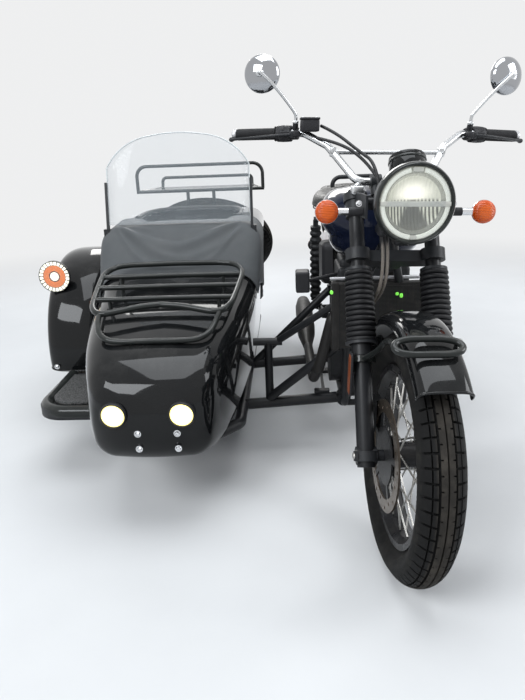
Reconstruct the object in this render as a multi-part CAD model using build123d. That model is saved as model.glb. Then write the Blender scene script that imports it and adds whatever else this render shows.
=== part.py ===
# Sidecar motorcycle outfit: a retro-style motorcycle with telescopic fork and chain drive, and a passenger
# sidecar rigidly braced to its right-hand side. It faces -Y, its left-hand side is +X and the floor is Z = 0.
# Millimetres. While it is modelled, X = 0 is the motorcycle's centre plane, Y = 0 is the front axle and the
# axles are at Z = AXLE_Z; at the end everything is moved together so that the origin is on the floor under
# the middle of the outfit.
from build123d import *
import math
import os

# Driving sizes of the whole outfit
WHEEL_R = 330.0
AXLE_Z = 330.0
TYRE_W = 108.0
WHEELBASE = 1570.0
TRACK = 1175.0
SIDECAR_LEAD = 330.0
HULL_TO_WHEEL = 475.0
RAKE = 27.0
FORK_OFFSET = 60.0
FORK_HALF_SPAN = 105.0
PARKED_STEER = 5.0
SEAT_FIT = 0.3

# Wheels
RIM_R = 240.0
BEAD_R = 228.0
RIM_W = 66.0
RIM_WELL_R = 212.0
HUB_R = 34.0
HUB_FLANGE_R = 52.0
HUB_HALF = 48.0
SPOKE_R = 2.4
SPOKE_PAIRS = 9
AXLE_R = 10.0
AXLE_FIT = 0.05
DISC_T = 5.0
DISC_R = 148.0
DISC_BAND = 34.0
DISC_CARRIER_R = 78.0
DISC_X = 56.0
SPROCKET_R = 88.0
CHAIN_X = 78.0
CHAIN_W = 12.0
CHAIN_T = 12.0

# Fork and steering, lengths measured up the steering axis from the point nearest the front axle
STANCHION_R = 20.5
LOWER_LEG_R = 24.0
LOWER_LEG_TOP = 300.0
GAITER_R = 41.0
GAITER_TOP = 500.0
LOWER_YOKE = (530.0, 562.0)
UPPER_YOKE = (700.0, 722.0)
STEM_R = 13.0
HEAD_TUBE_R = 27.0
HEADLAMP_R = 99.0
HEADLAMP_Z = 968.0
HEADLAMP_FRONT = 94.0
HEADLAMP_DEPTH = 150.0
BAR_R = 11.0
BAR_HALF = 446.0
GRIP_R = 16.5
HOSE_R = 4.5

# Frame, engine and seats
FRAME_TUBE_R = 13.0
FRAME_X = 101.0
RAIL_Z = 236.0
PIVOT_Y = 1140.0
PIVOT_Z = 400.0
ARM_X = 131.0
SHOCK_X = 160.0
CASE_HALF = 148.0
CASE_Y = (575.0, 1002.0)
CASE_Z = (252.0, 500.0)
CYLINDER_HALF = 118.0
FIN_COUNT = 7
EXHAUST_R = 19.0
SILENCER_R = 42.0
SPROCKET_Y = 1052.0
FRONT_SPROCKET_R = 32.0
TANK_HALF = 178.0
SADDLE_HALF = 190.0
REAR_GUARD_GAP = 58.0
FRONT_GUARD_GAP = 50.0
CALIPER_IN = 38.5
FRONT_GUARD_HALF = 62.0
INDICATOR_X = 206.0
INDICATOR_Z = 941.0

# Sidecar body, as rounded sections one behind the other
HULL_WALL = 12.0
HULL_SECTIONS = [
    # y, half width at the bottom, half width at the top, z of the bottom, z of the top, corner radius
    (118, 120, 112, 292, 440, 50),
    (150, 172, 165, 256, 492, 62),
    (230, 200, 203, 244, 548, 62),
    (430, 228, 250, 240, 606, 60),
    (735, 250, 286, 240, 672, 60),
    (890, 258, 300, 240, 838, 60),
    (1420, 262, 300, 240, 856, 60),
    (1500, 258, 292, 242, 846, 55),
    (1985, 180, 205, 262, 372, 40),
]
COCKPIT_Y = (1060.0, 1400.0)
COCKPIT_HALF = 215.0
COWL_Y = (735.0, 1060.0)
BULKHEAD_Y = 1425.0
LID_Y = (1512.0, 1950.0)
LID_HALF = 165.0
LID_GAP = 5.5
TONNEAU_T = 4.5
CHASSIS_TUBE_R = 22.0
CHASSIS_Z = 214.0
CHASSIS_HALF = 230.0
CHASSIS_Y = (380.0, 1860.0)
CROSS_Y = (620.0, 1000.0, 1300.0, 1800.0)
STRUT_Y = 620.0
POST_OUT = 100.0
GUARD_GAP = 60.0
GUARD_HALF = 111.0
GUARD_T = 3.0
STEP_T = 34.0
SCREEN_T = 4.0
SCREEN_HALF = 270.0
SCREEN_H = 340.0
SCREEN_TILT = 12.0
SCREEN_FOOT = (878.0, 848.0)
NOSE_RACK_R = 9.0
FOG_X = 98.0
FOG_R = 38.0
FOG_Z = 408.0
HINGE_Y = 1506.0
HINGE_Z = 856.0
HINGE_X = 110.0
LUGGAGE_HALF = 298.0
LUGGAGE_Y = (1510.0, 1790.0)
LUGGAGE_Z = 936.0
LUGGAGE_TOP = 1052.0
LUGGAGE_SLATS = 6
SPARE_ALONG = 352.0
SPARE_RISE = 66.0

SIDECAR_AXLE_Y = WHEELBASE - SIDECAR_LEAD
SIDECAR_X = -TRACK
HULL_X = SIDECAR_X + HULL_TO_WHEEL
FRONT_GUARD_R = WHEEL_R + FRONT_GUARD_GAP
REAR_GUARD_R = WHEEL_R + REAR_GUARD_GAP
GUARD_R = WHEEL_R + GUARD_GAP
rake_sin = math.sin(math.radians(RAKE))
rake_cos = math.cos(math.radians(RAKE))
steer_foot = Vector(0, FORK_OFFSET * rake_cos, AXLE_Z - FORK_OFFSET * rake_sin)
steer_up = Vector(0, rake_sin, rake_cos)
STEER_PLANE = Plane(origin=steer_foot, x_dir=(1, 0, 0), z_dir=steer_up)
STEER_AXIS = Axis(steer_foot, steer_up)

nodes = {}
bodies = {}


def keep(name, body, *shapes):
    """Stores the finished solids of one sub-part under its node name and its body."""
    solids = [solid for shape in shapes for solid in shape.solids()]
    nodes[name] = Compound(children=solids) if len(solids) > 1 else solids[0]
    bodies[name] = body


def fused(*shapes):
    """One shape from all of these."""
    return Part() + list(shapes)


def rod(a, b, radius):
    """A round bar from a to b."""
    start = Vector(*a)
    along = Vector(*b) - start
    place = Plane(origin=start, z_dir=along)
    return place * Cylinder(radius, along.length, align=(Align.CENTER, Align.CENTER, Align.MIN))


def bent(points, radius, bend):
    """A round tube along straight runs joined by arcs of radius bend."""
    path = FilletPolyline(*points, radius=bend)
    return sweep(Plane(origin=path @ 0, z_dir=path % 0) * Circle(radius), path=path)


def block(x, y, z, edge=0.0):
    """A box between the given (low, high) pairs, its edges rounded by edge."""
    size = [high - low for low, high in (x, y, z)]
    middle = [(high + low) / 2 for low, high in (x, y, z)]
    made = Pos(*middle) * Box(*size)
    return fillet(made.edges(), edge) if edge else made


def mirrored(shape):
    """The same shape on the other side of the motorcycle's centre plane."""
    return mirror(shape, about=Plane.YZ)


def across(radius, half, x=0.0, y=0.0, z=0.0):
    """A cylinder along X centred on (x, y, z)."""
    return Pos(x, y, z) * Rot(0, 90, 0) * Cylinder(radius, 2 * half)


def turned(points):
    """A solid of revolution about the X axis from (along X, radius) points."""
    return revolve(make_face(Polyline(*points, close=True)), Axis.X)


def hoop_guard(half, radius, skirt, thickness, shoulder, first, last):
    """A wheel guard about the X axis: a channel of the given half width from angle first to last.
    Angles start at the rear (+Y) and rise through the top (+Z)."""
    low = radius - skirt
    outline = [(-half, low), (-half, radius - shoulder), (shoulder - half, radius), (half - shoulder, radius),
               (half, radius - shoulder), (half, low)]
    inner = [(half - thickness, low), (half - thickness, radius - shoulder - thickness / 2),
             (half - shoulder - thickness / 2, radius - thickness),
             (shoulder - half + thickness / 2, radius - thickness),
             (thickness - half, radius - shoulder - thickness / 2), (thickness - half, low)]
    face = make_face(Polyline(*outline, *inner, close=True))
    return Rot(first, 0, 0) * revolve(face, Axis.X, revolution_arc=last - first)


def round_axle(radius, angle, axle_y=0.0):
    """The (y, z) of a point at this radius and angle round an axle."""
    return (axle_y + radius * math.cos(math.radians(angle)), AXLE_Z + radius * math.sin(math.radians(angle)))


# Wheels, made about the origin with the axle along X
def make_tyre():
    half = TYRE_W / 2
    shoulder_r = WHEEL_R - 26
    lip = RIM_W / 2 - 5
    flank = (half, (RIM_R + shoulder_r) / 2 + 8)
    outline = [
        Line((-lip, BEAD_R), (lip, BEAD_R)),
        Line((lip, BEAD_R), (lip, RIM_R + 4)),
        ThreePointArc((lip, RIM_R + 4), flank, (half - 8, shoulder_r)),
        ThreePointArc((half - 8, shoulder_r), (0, WHEEL_R), (8 - half, shoulder_r)),
        ThreePointArc((8 - half, shoulder_r), (-flank[0], flank[1]), (-lip, RIM_R + 4)),
        Line((-lip, RIM_R + 4), (-lip, BEAD_R))]
    return revolve(make_face(outline), Axis.X)


def make_laced_rim():
    half = RIM_W / 2
    wall = 4.0
    rim = turned([
        (-half, RIM_R), (-half + wall, RIM_R), (-half + wall, BEAD_R), (half - wall, BEAD_R),
        (half - wall, RIM_R), (half, RIM_R), (half, BEAD_R - wall), (RIM_W / 5, RIM_WELL_R),
        (-RIM_W / 5, RIM_WELL_R), (-half, BEAD_R - wall)])
    hub = turned([
        (-HUB_HALF, AXLE_R + AXLE_FIT), (HUB_HALF, AXLE_R + AXLE_FIT), (HUB_HALF, HUB_R),
        (HUB_HALF - 8, HUB_R),
        (HUB_HALF - 8, HUB_FLANGE_R), (HUB_HALF - 15, HUB_FLANGE_R), (HUB_HALF - 19, HUB_R),
        (-HUB_HALF + 19, HUB_R), (-HUB_HALF + 15, HUB_FLANGE_R), (-HUB_HALF + 8, HUB_FLANGE_R),
        (-HUB_HALF + 8, HUB_R), (-HUB_HALF, HUB_R)])
    spokes = []
    flange_r = HUB_FLANGE_R - 6
    nipple_r = RIM_WELL_R + 4
    lacing = 44.0
    for side in (-1, 1):
        for pair in range(SPOKE_PAIRS):
            middle = (pair + (0.25 if side > 0 else 0.75)) * 360 / SPOKE_PAIRS
            for lean in (-1, 1):
                foot = math.radians(middle + lean * (10 + lacing))
                tip = math.radians(middle + lean * 10)
                hub_x = side * (HUB_HALF - 11.5 + lean * 2.6)
                spokes.append(rod(
                    (hub_x, flange_r * math.cos(foot), flange_r * math.sin(foot)),
                    (side * 7, nipple_r * math.cos(tip), nipple_r * math.sin(tip)), SPOKE_R))
    return fused(rim, hub, *spokes)


def make_disc(x):
    """A brake disc with its carrier, seated on the hub at x."""
    inner_r = DISC_R - DISC_BAND
    ring = across(DISC_R, DISC_T / 2, x) - across(inner_r, DISC_T, x)
    carrier = across(DISC_CARRIER_R, DISC_T / 2 - 0.5, x)
    arms = [Rot(k * 72, 0, 0) * Pos(x, 0, (DISC_CARRIER_R + inner_r) / 2) * Box(DISC_T - 1, 16, 56)
            for k in range(5)]
    seat = math.copysign(HUB_HALF + SEAT_FIT, x)
    boss = across(HUB_R - 2, abs(x - seat) / 2, (x + seat) / 2)
    holes = [Rot(k * 20, 0, 0) * across(5, DISC_T, x, 0, DISC_R - 11 - 11 * (k % 2)) for k in range(18)]
    bore = across(AXLE_R + AXLE_FIT, 2 * DISC_T + 10, x)
    return fused(ring, carrier, boss, *arms) - holes - bore


tyre = make_tyre()
laced_rim = make_laced_rim()
front_disc = make_disc(-DISC_X)
sidecar_disc = make_disc(DISC_X)

keep("front_tyre", "front_wheel", Pos(0, 0, AXLE_Z) * tyre)
keep("front_rim", "front_wheel", Pos(0, 0, AXLE_Z) * laced_rim)
keep("front_brake_disc", "front_wheel", Pos(0, 0, AXLE_Z) * front_disc)
keep("rear_tyre", "rear_wheel", Pos(0, WHEELBASE, AXLE_Z) * tyre)
keep("rear_rim", "rear_wheel", Pos(0, WHEELBASE, AXLE_Z) * laced_rim)
sprocket_boss = across(HUB_R - 2, (CHAIN_X - HUB_HALF - SEAT_FIT) / 2, (CHAIN_X + HUB_HALF + SEAT_FIT) / 2)
rear_sprocket = fused(across(SPROCKET_R, 2.5, CHAIN_X), sprocket_boss)
rear_sprocket -= across(AXLE_R + AXLE_FIT, 40, CHAIN_X - 10)
keep("rear_disc_and_sprocket", "rear_wheel", Pos(0, WHEELBASE, AXLE_Z) * front_disc,
     Pos(0, WHEELBASE, AXLE_Z) * rear_sprocket)
keep("sidecar_tyre", "sidecar_wheel", Pos(SIDECAR_X, SIDECAR_AXLE_Y, AXLE_Z) * tyre)
keep("sidecar_rim", "sidecar_wheel", Pos(SIDECAR_X, SIDECAR_AXLE_Y, AXLE_Z) * laced_rim)
keep("sidecar_brake_disc", "sidecar_wheel", Pos(SIDECAR_X, SIDECAR_AXLE_Y, AXLE_Z) * sidecar_disc)


# Fork, in steering coordinates: x to the left, y back, z up the steering axis
def in_fork(shape):
    return STEER_PLANE.location * shape


def leg_bar(x, low, high, radius):
    bar = Cylinder(radius, high - low, align=(Align.CENTER, Align.CENTER, Align.MIN))
    return Pos(x, -FORK_OFFSET, low) * bar


def make_yoke(span, stem):
    low, high = span
    web = Pos(0, -FORK_OFFSET / 2, (low + high) / 2) * Box(2 * FORK_HALF_SPAN, FORK_OFFSET * 0.9, high - low)
    lugs = [leg_bar(x, low, high, STANCHION_R + 13) for x in (-FORK_HALF_SPAN, FORK_HALF_SPAN)]
    boss = Pos(0, 0, (low + high) / 2) * Cylinder(HEAD_TUBE_R + 3, high - low)
    bores = [leg_bar(x, low - 1, high + 1, STANCHION_R) for x in (-FORK_HALF_SPAN, FORK_HALF_SPAN)]
    return (fused(web, boss, *lugs, stem) if stem else fused(web, boss, *lugs)) - bores


stem = Pos(0, 0, LOWER_YOKE[0]) * Cylinder(STEM_R, UPPER_YOKE[0] + 5 - LOWER_YOKE[0],
                                           align=(Align.CENTER, Align.CENTER, Align.MIN))
yokes = fused(in_fork(make_yoke(LOWER_YOKE, stem)), in_fork(make_yoke(UPPER_YOKE, None)))

legs = []
for x in (-FORK_HALF_SPAN, FORK_HALF_SPAN):
    slider = leg_bar(x, -30, LOWER_LEG_TOP, LOWER_LEG_R)
    collar = leg_bar(x, LOWER_LEG_TOP - 34, LOWER_LEG_TOP - 2, LOWER_LEG_R + 4)
    stanchion = leg_bar(x, LOWER_LEG_TOP, UPPER_YOKE[1] + 12, STANCHION_R)
    lug = Pos(x, -FORK_OFFSET, 0) * Rot(0, 90, 0) * Cylinder(24, 2 * LOWER_LEG_R + 4)
    legs += [slider, collar, stanchion, lug]
front_axle = Pos(0, -FORK_OFFSET, 0) * Rot(0, 90, 0) * Cylinder(AXLE_R, 2 * FORK_HALF_SPAN)
for side in (-1, 1):
    inner = (DISC_X + DISC_T / 2 + SEAT_FIT) if side < 0 else HUB_HALF + SEAT_FIT
    reach = FORK_HALF_SPAN - LOWER_LEG_R - inner
    spacer_x = side * (inner + (reach + 2) / 2)
    legs.append(Pos(spacer_x, -FORK_OFFSET, 0) * Rot(0, 90, 0) * Cylinder(15, reach + 2))
fork_legs = fused(front_axle, *legs)
keep("fork_legs", "steering", in_fork(fork_legs))


def make_gaiter(x):
    """A ribbed rubber sleeve between the lower leg and the yoke."""
    ribs = 13
    low = LOWER_LEG_TOP + SEAT_FIT
    pitch = (GAITER_TOP - low) / ribs
    rise = [(GAITER_R - 4, low), (GAITER_R, low + 0.3 * pitch)]
    for rib in range(1, ribs):
        z = low + rib * pitch
        taper = 2.5 * rib / ribs
        rise += [(GAITER_R - taper, z - 0.3 * pitch), (GAITER_R - 5 - taper, z),
                 (GAITER_R - taper, z + 0.3 * pitch)]
    rise += [(GAITER_R - 3, GAITER_TOP - 0.3 * pitch), (GAITER_R - 8, GAITER_TOP)]
    bore = STANCHION_R + SEAT_FIT
    face = make_face(Polyline((bore, low), *rise, (bore, GAITER_TOP), close=True))
    upright = Plane(origin=(0, 0, 0), x_dir=(1, 0, 0), z_dir=(0, -1, 0)) * face
    return Pos(x, -FORK_OFFSET, 0) * revolve(upright, Axis.Z)


keep("fork_gaiters", "steering", *[in_fork(make_gaiter(x)) for x in (-FORK_HALF_SPAN, FORK_HALF_SPAN)])

# Headlamp: round bucket and lens on side plates from the fork, with the front indicators
lamp_shell_profile = [
    (0, HEADLAMP_R - 3), (6, HEADLAMP_R), (16, HEADLAMP_R), (24, HEADLAMP_R - 6), (70, HEADLAMP_R - 10),
    (112, HEADLAMP_R - 28), (140, HEADLAMP_R - 62), (HEADLAMP_DEPTH, 0), (HEADLAMP_DEPTH - 6, 0),
    (134, HEADLAMP_R - 67), (108, HEADLAMP_R - 34), (70, HEADLAMP_R - 15), (18, HEADLAMP_R - 9),
    (0, HEADLAMP_R - 9)]


def facing_front(profile, y, x, z):
    """Revolves (depth behind y, radius) points about an axis along Y through (x, z)."""
    face = make_face(Polyline(*[(r, d) for d, r in profile], close=True))
    return Pos(x, y, z) * revolve(face, Axis.Y)


lamp_shell = facing_front(lamp_shell_profile, HEADLAMP_FRONT, 0, HEADLAMP_Z)
lens_r = HEADLAMP_R - 9 - SEAT_FIT
lens_profile = [(2, 0), (-6, 0), (-3, lens_r * 0.6), (4, lens_r), (14, lens_r), (12, lens_r * 0.5), (12, 0)]
lamp_lens = facing_front(lens_profile, HEADLAMP_FRONT, 0, HEADLAMP_Z)
keep("headlamp_lens", "steering", lamp_lens)
ear_y = HEADLAMP_FRONT + 78
ears = []
for side in (-1, 1):
    leg_y = (HEADLAMP_Z - AXLE_Z) * math.tan(math.radians(RAKE))
    clamp = in_fork(leg_bar(side * FORK_HALF_SPAN, 655, 699, STANCHION_R + 8))
    clamp -= in_fork(leg_bar(side * FORK_HALF_SPAN, 600, 700, STANCHION_R + 0.05))
    arm = block((side * 108 - 3, side * 108 + 3), (ear_y - 20, leg_y + 4), (HEADLAMP_Z - 42, HEADLAMP_Z + 16))
    arm -= in_fork(leg_bar(side * FORK_HALF_SPAN, 500, 760, STANCHION_R + 0.05))
    ears += [clamp, arm, across(9, 12, side * 98, ear_y, HEADLAMP_Z)]
lamp_room = facing_front([(0, 0), (0, HEADLAMP_R - 4), (70, HEADLAMP_R - 10), (112, HEADLAMP_R - 28),
                          (160, HEADLAMP_R - 62), (160, 0)], HEADLAMP_FRONT, 0, HEADLAMP_Z)
headlamp_ears = fused(*ears) - lamp_room
keep("headlamp_shell", "steering", lamp_shell)
indicator_y = 182
ear_face = 111.3
indicators = []
for side in (-1, 1):
    stalk = across(7, (INDICATOR_X - ear_face) / 2 - 13, side * ((INDICATOR_X + ear_face) / 2 - 13),
                   indicator_y, INDICATOR_Z)
    bowl = facing_front([(-14, 24), (-8, 30), (6, 30), (24, 16), (30, 0), (-18, 0)], indicator_y,
                        side * INDICATOR_X, INDICATOR_Z)
    indicators.append(fused(stalk, bowl))
keep("front_indicators", "steering", *indicators)

# Handlebar with cross brace, on two risers
bar_points = [(0, 352, 1008), (98, 352, 1008), (172, 440, 1104), (236, 494, 1140), (BAR_HALF - 6, 572, 1136)]
right_half = [(-x, y, z) for x, y, z in reversed(bar_points[1:])]
handlebar = bent(right_half + bar_points[1:], BAR_R, 38)
brace_x = 158
brace = rod((-brace_x, 424, 1087), (brace_x, 424, 1087), 6.5)
keep("handlebar", "steering", fused(handlebar, brace))
risers = []
for side in (-1, 1):
    base = Vector(side * 45, 352, 1008)
    risers.append(rod(tuple(base - steer_up * 60), tuple(base - steer_up * 8), 15))
    risers.append(across(21, 15, base.X, 352, 1008))
top_face = in_fork(Pos(0, 0, UPPER_YOKE[1] - 200) * Box(400, 400, 400))
riser_shape = fused(*risers) - across(BAR_R + 0.05, 80, 0, 352, 1008) - top_face
keep("fork_yokes", "steering", fused(yokes, riser_shape), headlamp_ears)

# Speedometer, switches, levers, grips and mirrors
speedo_centre = (20, 262, 1046)
speedo_tilt = Pos(*speedo_centre) * Rot(-28, 0, 0)
speedo = speedo_tilt * Cylinder(50, 62)
speedo_bracket = block((-8, 48), (speedo_centre[1] + 30, 352), (992, 1004))
speedo_bracket = fused(speedo_bracket, rod((20, 285, 1040), (20, 300, 996), 7))
speedo_room = fused(nodes["fork_yokes"], nodes["handlebar"])
keep("speedometer", "steering", fused(speedo, speedo_bracket) - speedo_room)


def on_bar(side, near, far, radius):
    """A sleeve round the handlebar's outer run, between two distances from its inner bend."""
    inner, outer = Vector(*bar_points[3]), Vector(*bar_points[4])
    along = (outer - inner).normalized()
    a, b = inner + along * near, inner + along * far
    sleeve = rod(tuple(a), tuple(b), radius) - rod(tuple(a - along), tuple(b + along), BAR_R + 0.05)
    return sleeve if side > 0 else mirrored(sleeve)


grips = [on_bar(side, 86, 212, GRIP_R) for side in (-1, 1)]
ends = [on_bar(side, 212.4, 219, 13) for side in (-1, 1)]
bar_controls = []
for side in (-1, 1):
    switch = on_bar(1, 36, 85, 22)
    perch = on_bar(1, 18, 35.6, 17)
    post = rod((262, 500, 1140), (262, 488, 1166), 9) - rod(bar_points[3], bar_points[4], 15)
    lever_root = (268, 486, 1136)
    lever = bent([lever_root, (300, 476, 1134), (372, 500, 1128), (452, 560, 1122)], 5.5, 30)
    pivot = block((258, 282), (474, 504), (1127, 1145)) - rod(bar_points[3], bar_points[4], 15)
    made = fused(switch, perch, post, lever, pivot) - rod(bar_points[3], bar_points[4], BAR_R + 0.05)
    bar_controls.append(made if side > 0 else mirrored(made))
brake_reservoir = block((-250, -196), (440, 486), (1142, 1182), 4)
brake_reservoir = brake_reservoir - on_bar(-1, 0, 90, 23) - nodes["handlebar"]
bar_controls.append(brake_reservoir.solids().sort_by(SortBy.VOLUME)[-1])
keep("hand_controls", "steering", *bar_controls, *grips, *ends)
mirrors = []
for side in (-1, 1):
    stem_bar = bent([(262, 488, 1167.6), (262, 487, 1196), (300, 487, 1240), (352, 494, 1296)], 5, 18)
    head = Pos(362, 504, 1302) * Rot(0, 0, 6) * Rot(90, 0, 0)
    dish = head * (Cylinder(52, 22) - Pos(0, 0, -9) * Cylinder(48, 5))
    cap = head * Pos(0, 0, 11) * Cylinder(30, 8)
    mirror_shape = fused(stem_bar, dish, cap) - rod((262, 500, 1140), (262, 488, 1166), 9)
    mirrors.append(mirror_shape if side > 0 else mirrored(mirror_shape))
keep("mirrors", "steering", *mirrors)

# Front mudguard on stays, and the tube hoop round it
front_guard = Pos(0, 0, AXLE_Z) * hoop_guard(FRONT_GUARD_HALF, FRONT_GUARD_R, 34, 2.5, 24, 24, 132)
stays = []
for side in (-1, 1):
    stays.append(rod((side * 60, *round_axle(FRONT_GUARD_R - 18, 83.7)), (side * 92, 104, 592), 6))
    stays.append(rod((side * 61, *round_axle(FRONT_GUARD_R - 31, 43.8)), (side * 96, 118, 560), 5))
collar_room = in_fork(fused(*[leg_bar(x, -30, LOWER_LEG_TOP + 1, LOWER_LEG_R + 4 + SEAT_FIT)
                              for x in (-FORK_HALF_SPAN, FORK_HALF_SPAN)]))
stay_shape = fused(front_guard, *stays) - collar_room
stay_shape -= Pos(0, 0, AXLE_Z) * across(WHEEL_R + 20, 64)
keep("front_mudguard", "steering", stay_shape)
hoop_half = [(92, *round_axle(FRONT_GUARD_R + 37.3, 113.74)), (84, *round_axle(FRONT_GUARD_R - 8.9, 104.04)),
             (84, 20, 610), (108, 92, 566)]
hoop = bent([(-x, y, z) for x, y, z in reversed(hoop_half)] + hoop_half, 8, 16)
leg_room = in_fork(fused(*[leg_bar(x, -60, LOWER_LEG_TOP, LOWER_LEG_R + SEAT_FIT)
                           for x in (-FORK_HALF_SPAN, FORK_HALF_SPAN)]))
hoop_clamps = [in_fork(leg_bar(x, 246, 262, LOWER_LEG_R + 7)) for x in (-FORK_HALF_SPAN, FORK_HALF_SPAN)]
keep("mudguard_hoop", "steering", fused(hoop, *hoop_clamps) - leg_room - stay_shape)

# Brake caliper behind the right-hand leg, and the hoses down to it
caliper = block((-96, -CALIPER_IN), (86, 158), (352, 442), 8)
caliper -= Pos(0, 0, AXLE_Z) * across(DISC_R + 4, DISC_T / 2 + 4, -DISC_X)
caliper -= Pos(0, 0, AXLE_Z) * across(90, 80)
keep("front_caliper", "steering", fused(caliper, block((-96, -82), (66, 110), (388, 420))) - leg_room)
reflectors = [block((side * 140 - 3, side * 140 + 3), (74, 108), (466, 584), 2) for side in (-1, 1)]
reflector_arms = [block(sorted((side * 138, side * 108)), (92, 104), (520, 530)) for side in (-1, 1)]
keep("fork_reflectors", "steering", *(fused(*reflectors, *reflector_arms) - leg_room).solids())
hose_a = bent([(-190, 466, 1160), (-150, 430, 1140), (-96, 370, 1092), (-58, 272, 1056), (-44, 216, 860),
               (-47, 186, 750), (-62, 222, 690), (-96, 226, 630), (-100, 178, 540), (-80, 140, 443)],
              HOSE_R, 14)
hose_b = bent([(-204, 446, 1126), (-140, 408, 1112), (-84, 340, 1070), (-42, 284, 1006), (-38, 266, 930),
               (-30, 214, 846), (-34, 192, 750), (-50, 234, 686), (-104, 240, 636), (-112, 180, 540),
               (-93, 152, 443)], HOSE_R, 14)
keep("brake_hoses", "steering", hose_a, hose_b)


# Frame: head tube, backbone, twin downtubes and rails, swing arm and spring units
head_height = UPPER_YOKE[0] - LOWER_YOKE[1] - 2 * SEAT_FIT
head_tube = in_fork(Pos(0, 0, LOWER_YOKE[1] + SEAT_FIT)
                    * Cylinder(HEAD_TUBE_R, head_height, align=(Align.CENTER, Align.CENTER, Align.MIN)))
stem_way = in_fork(Pos(0, 0, 630) * Cylinder(STEM_R + 0.05, 300))
backbone = bent([(0, 372, 872), (0, 470, 862), (0, 900, 812), (0, 1060, 770)], 20, 90)
down_tube = [(16, 352, 826), (58, 452, 690), (FRAME_X, 524, 500), (FRAME_X, 548, RAIL_Z)]
cradle = [bent([*down_tube, (FRAME_X, 1100, RAIL_Z), (FRAME_X, PIVOT_Y, 300), (FRAME_X, PIVOT_Y, 700),
                (FRAME_X, 1190, 790)], FRAME_TUBE_R, 30)]
seat_rail = bent([(18, 1010, 782), (FRAME_X, 1100, 786), (FRAME_X + 9, WHEELBASE - 70, 800),
                  (FRAME_X, WHEELBASE + 220, 828)],
                 FRAME_TUBE_R - 2, 40)
cross_bars = [across(11, FRAME_X, 0, 560, RAIL_Z + 4), across(14, FRAME_X, 0, PIVOT_Y, 470),
              across(9, FRAME_X, 0, WHEELBASE + 170, 822)]
pivot_plates = block((FRAME_X - 4, FRAME_X + 4), (PIVOT_Y - 8, PIVOT_Y + 34), (PIVOT_Z - 36, PIVOT_Z + 36))
frame_half = fused(*cradle, seat_rail, pivot_plates)
frame_shape = fused(head_tube, backbone, frame_half, mirrored(frame_half), *cross_bars) - stem_way
frame_shape -= across(AXLE_R + 2, 200, 0, PIVOT_Y + 16, PIVOT_Z)

pivot_y = PIVOT_Y + 16
swing_arm = []
for side in (-1, 1):
    arm = rod((side * ARM_X, pivot_y, PIVOT_Z), (side * ARM_X, WHEELBASE - 4, AXLE_Z), 13)
    eye = across(22, 9, side * ARM_X, WHEELBASE, AXLE_Z)
    lug = block(sorted((side * (ARM_X + 4), side * (ARM_X + 14))), (WHEELBASE - 108, WHEELBASE - 72),
                (342, 380))
    spacer_inner = {-1: DISC_X + DISC_T / 2 + SEAT_FIT, 1: CHAIN_X + 2.5 + SEAT_FIT}[side]
    spacer = across(15, (ARM_X - 8 - spacer_inner) / 2, side * (ARM_X - 8 + spacer_inner) / 2, WHEELBASE,
                    AXLE_Z)
    swing_arm += [arm, eye, lug, spacer]
swing_arm.append(across(AXLE_R, ARM_X + 20, 0, WHEELBASE, AXLE_Z))
swing_arm.append(across(AXLE_R + 1.7, ARM_X + 16, 0, pivot_y, PIVOT_Z))
swing_arm.append(across(16, FRAME_X - FRAME_TUBE_R - 1, 0, pivot_y, PIVOT_Z))
swing_arm = fused(*swing_arm)


def spring_unit(foot, head, spring_r, coils):
    """A damper with its coil spring, its eyes at foot and head."""
    start, end = Vector(*foot), Vector(*head)
    length = (end - start).length
    pitch = (length - 90) / coils
    outline = [(0, 0), (12, 0), (12, 34), (spring_r - 4, 38)]
    for coil in range(coils):
        z = 45 + coil * pitch
        outline += [(spring_r - 7, z), (spring_r, z + 0.3 * pitch), (spring_r, z + 0.55 * pitch),
                    (spring_r - 7, z + 0.85 * pitch)]
    outline += [(spring_r - 3, length - 44), (spring_r - 3, length - 30), (12, length - 26), (12, length),
                (0, length)]
    face = make_face(Polyline(*outline, close=True))
    upright = Plane(origin=(0, 0, 0), x_dir=(1, 0, 0), z_dir=(0, -1, 0)) * face
    return Plane(origin=start, z_dir=end - start) * revolve(upright, Axis.Z)


unit_foot, unit_head = (WHEELBASE - 90, 362), (WHEELBASE - 178, 792)
units = []
for side in (-1, 1):
    x = side * SHOCK_X
    units.append(fused(spring_unit((x, *unit_foot), (x, *unit_head), 27, 11), across(15, 9, x, *unit_foot),
                       across(15, 9, x, *unit_head)))
unit_pins = [across(7, (SHOCK_X - ARM_X - 14) / 2 + 3, side * ((SHOCK_X + ARM_X + 14) / 2 - 7), *unit_foot)
             for side in (-1, 1)]
top_pins = [across(8, 20, side * (SHOCK_X - 24), *unit_head) for side in (-1, 1)]
shock_pair = fused(*units, *unit_pins, *top_pins) - frame_shape - swing_arm
keep("rear_spring_units", "chassis", *shock_pair.solids())


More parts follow.
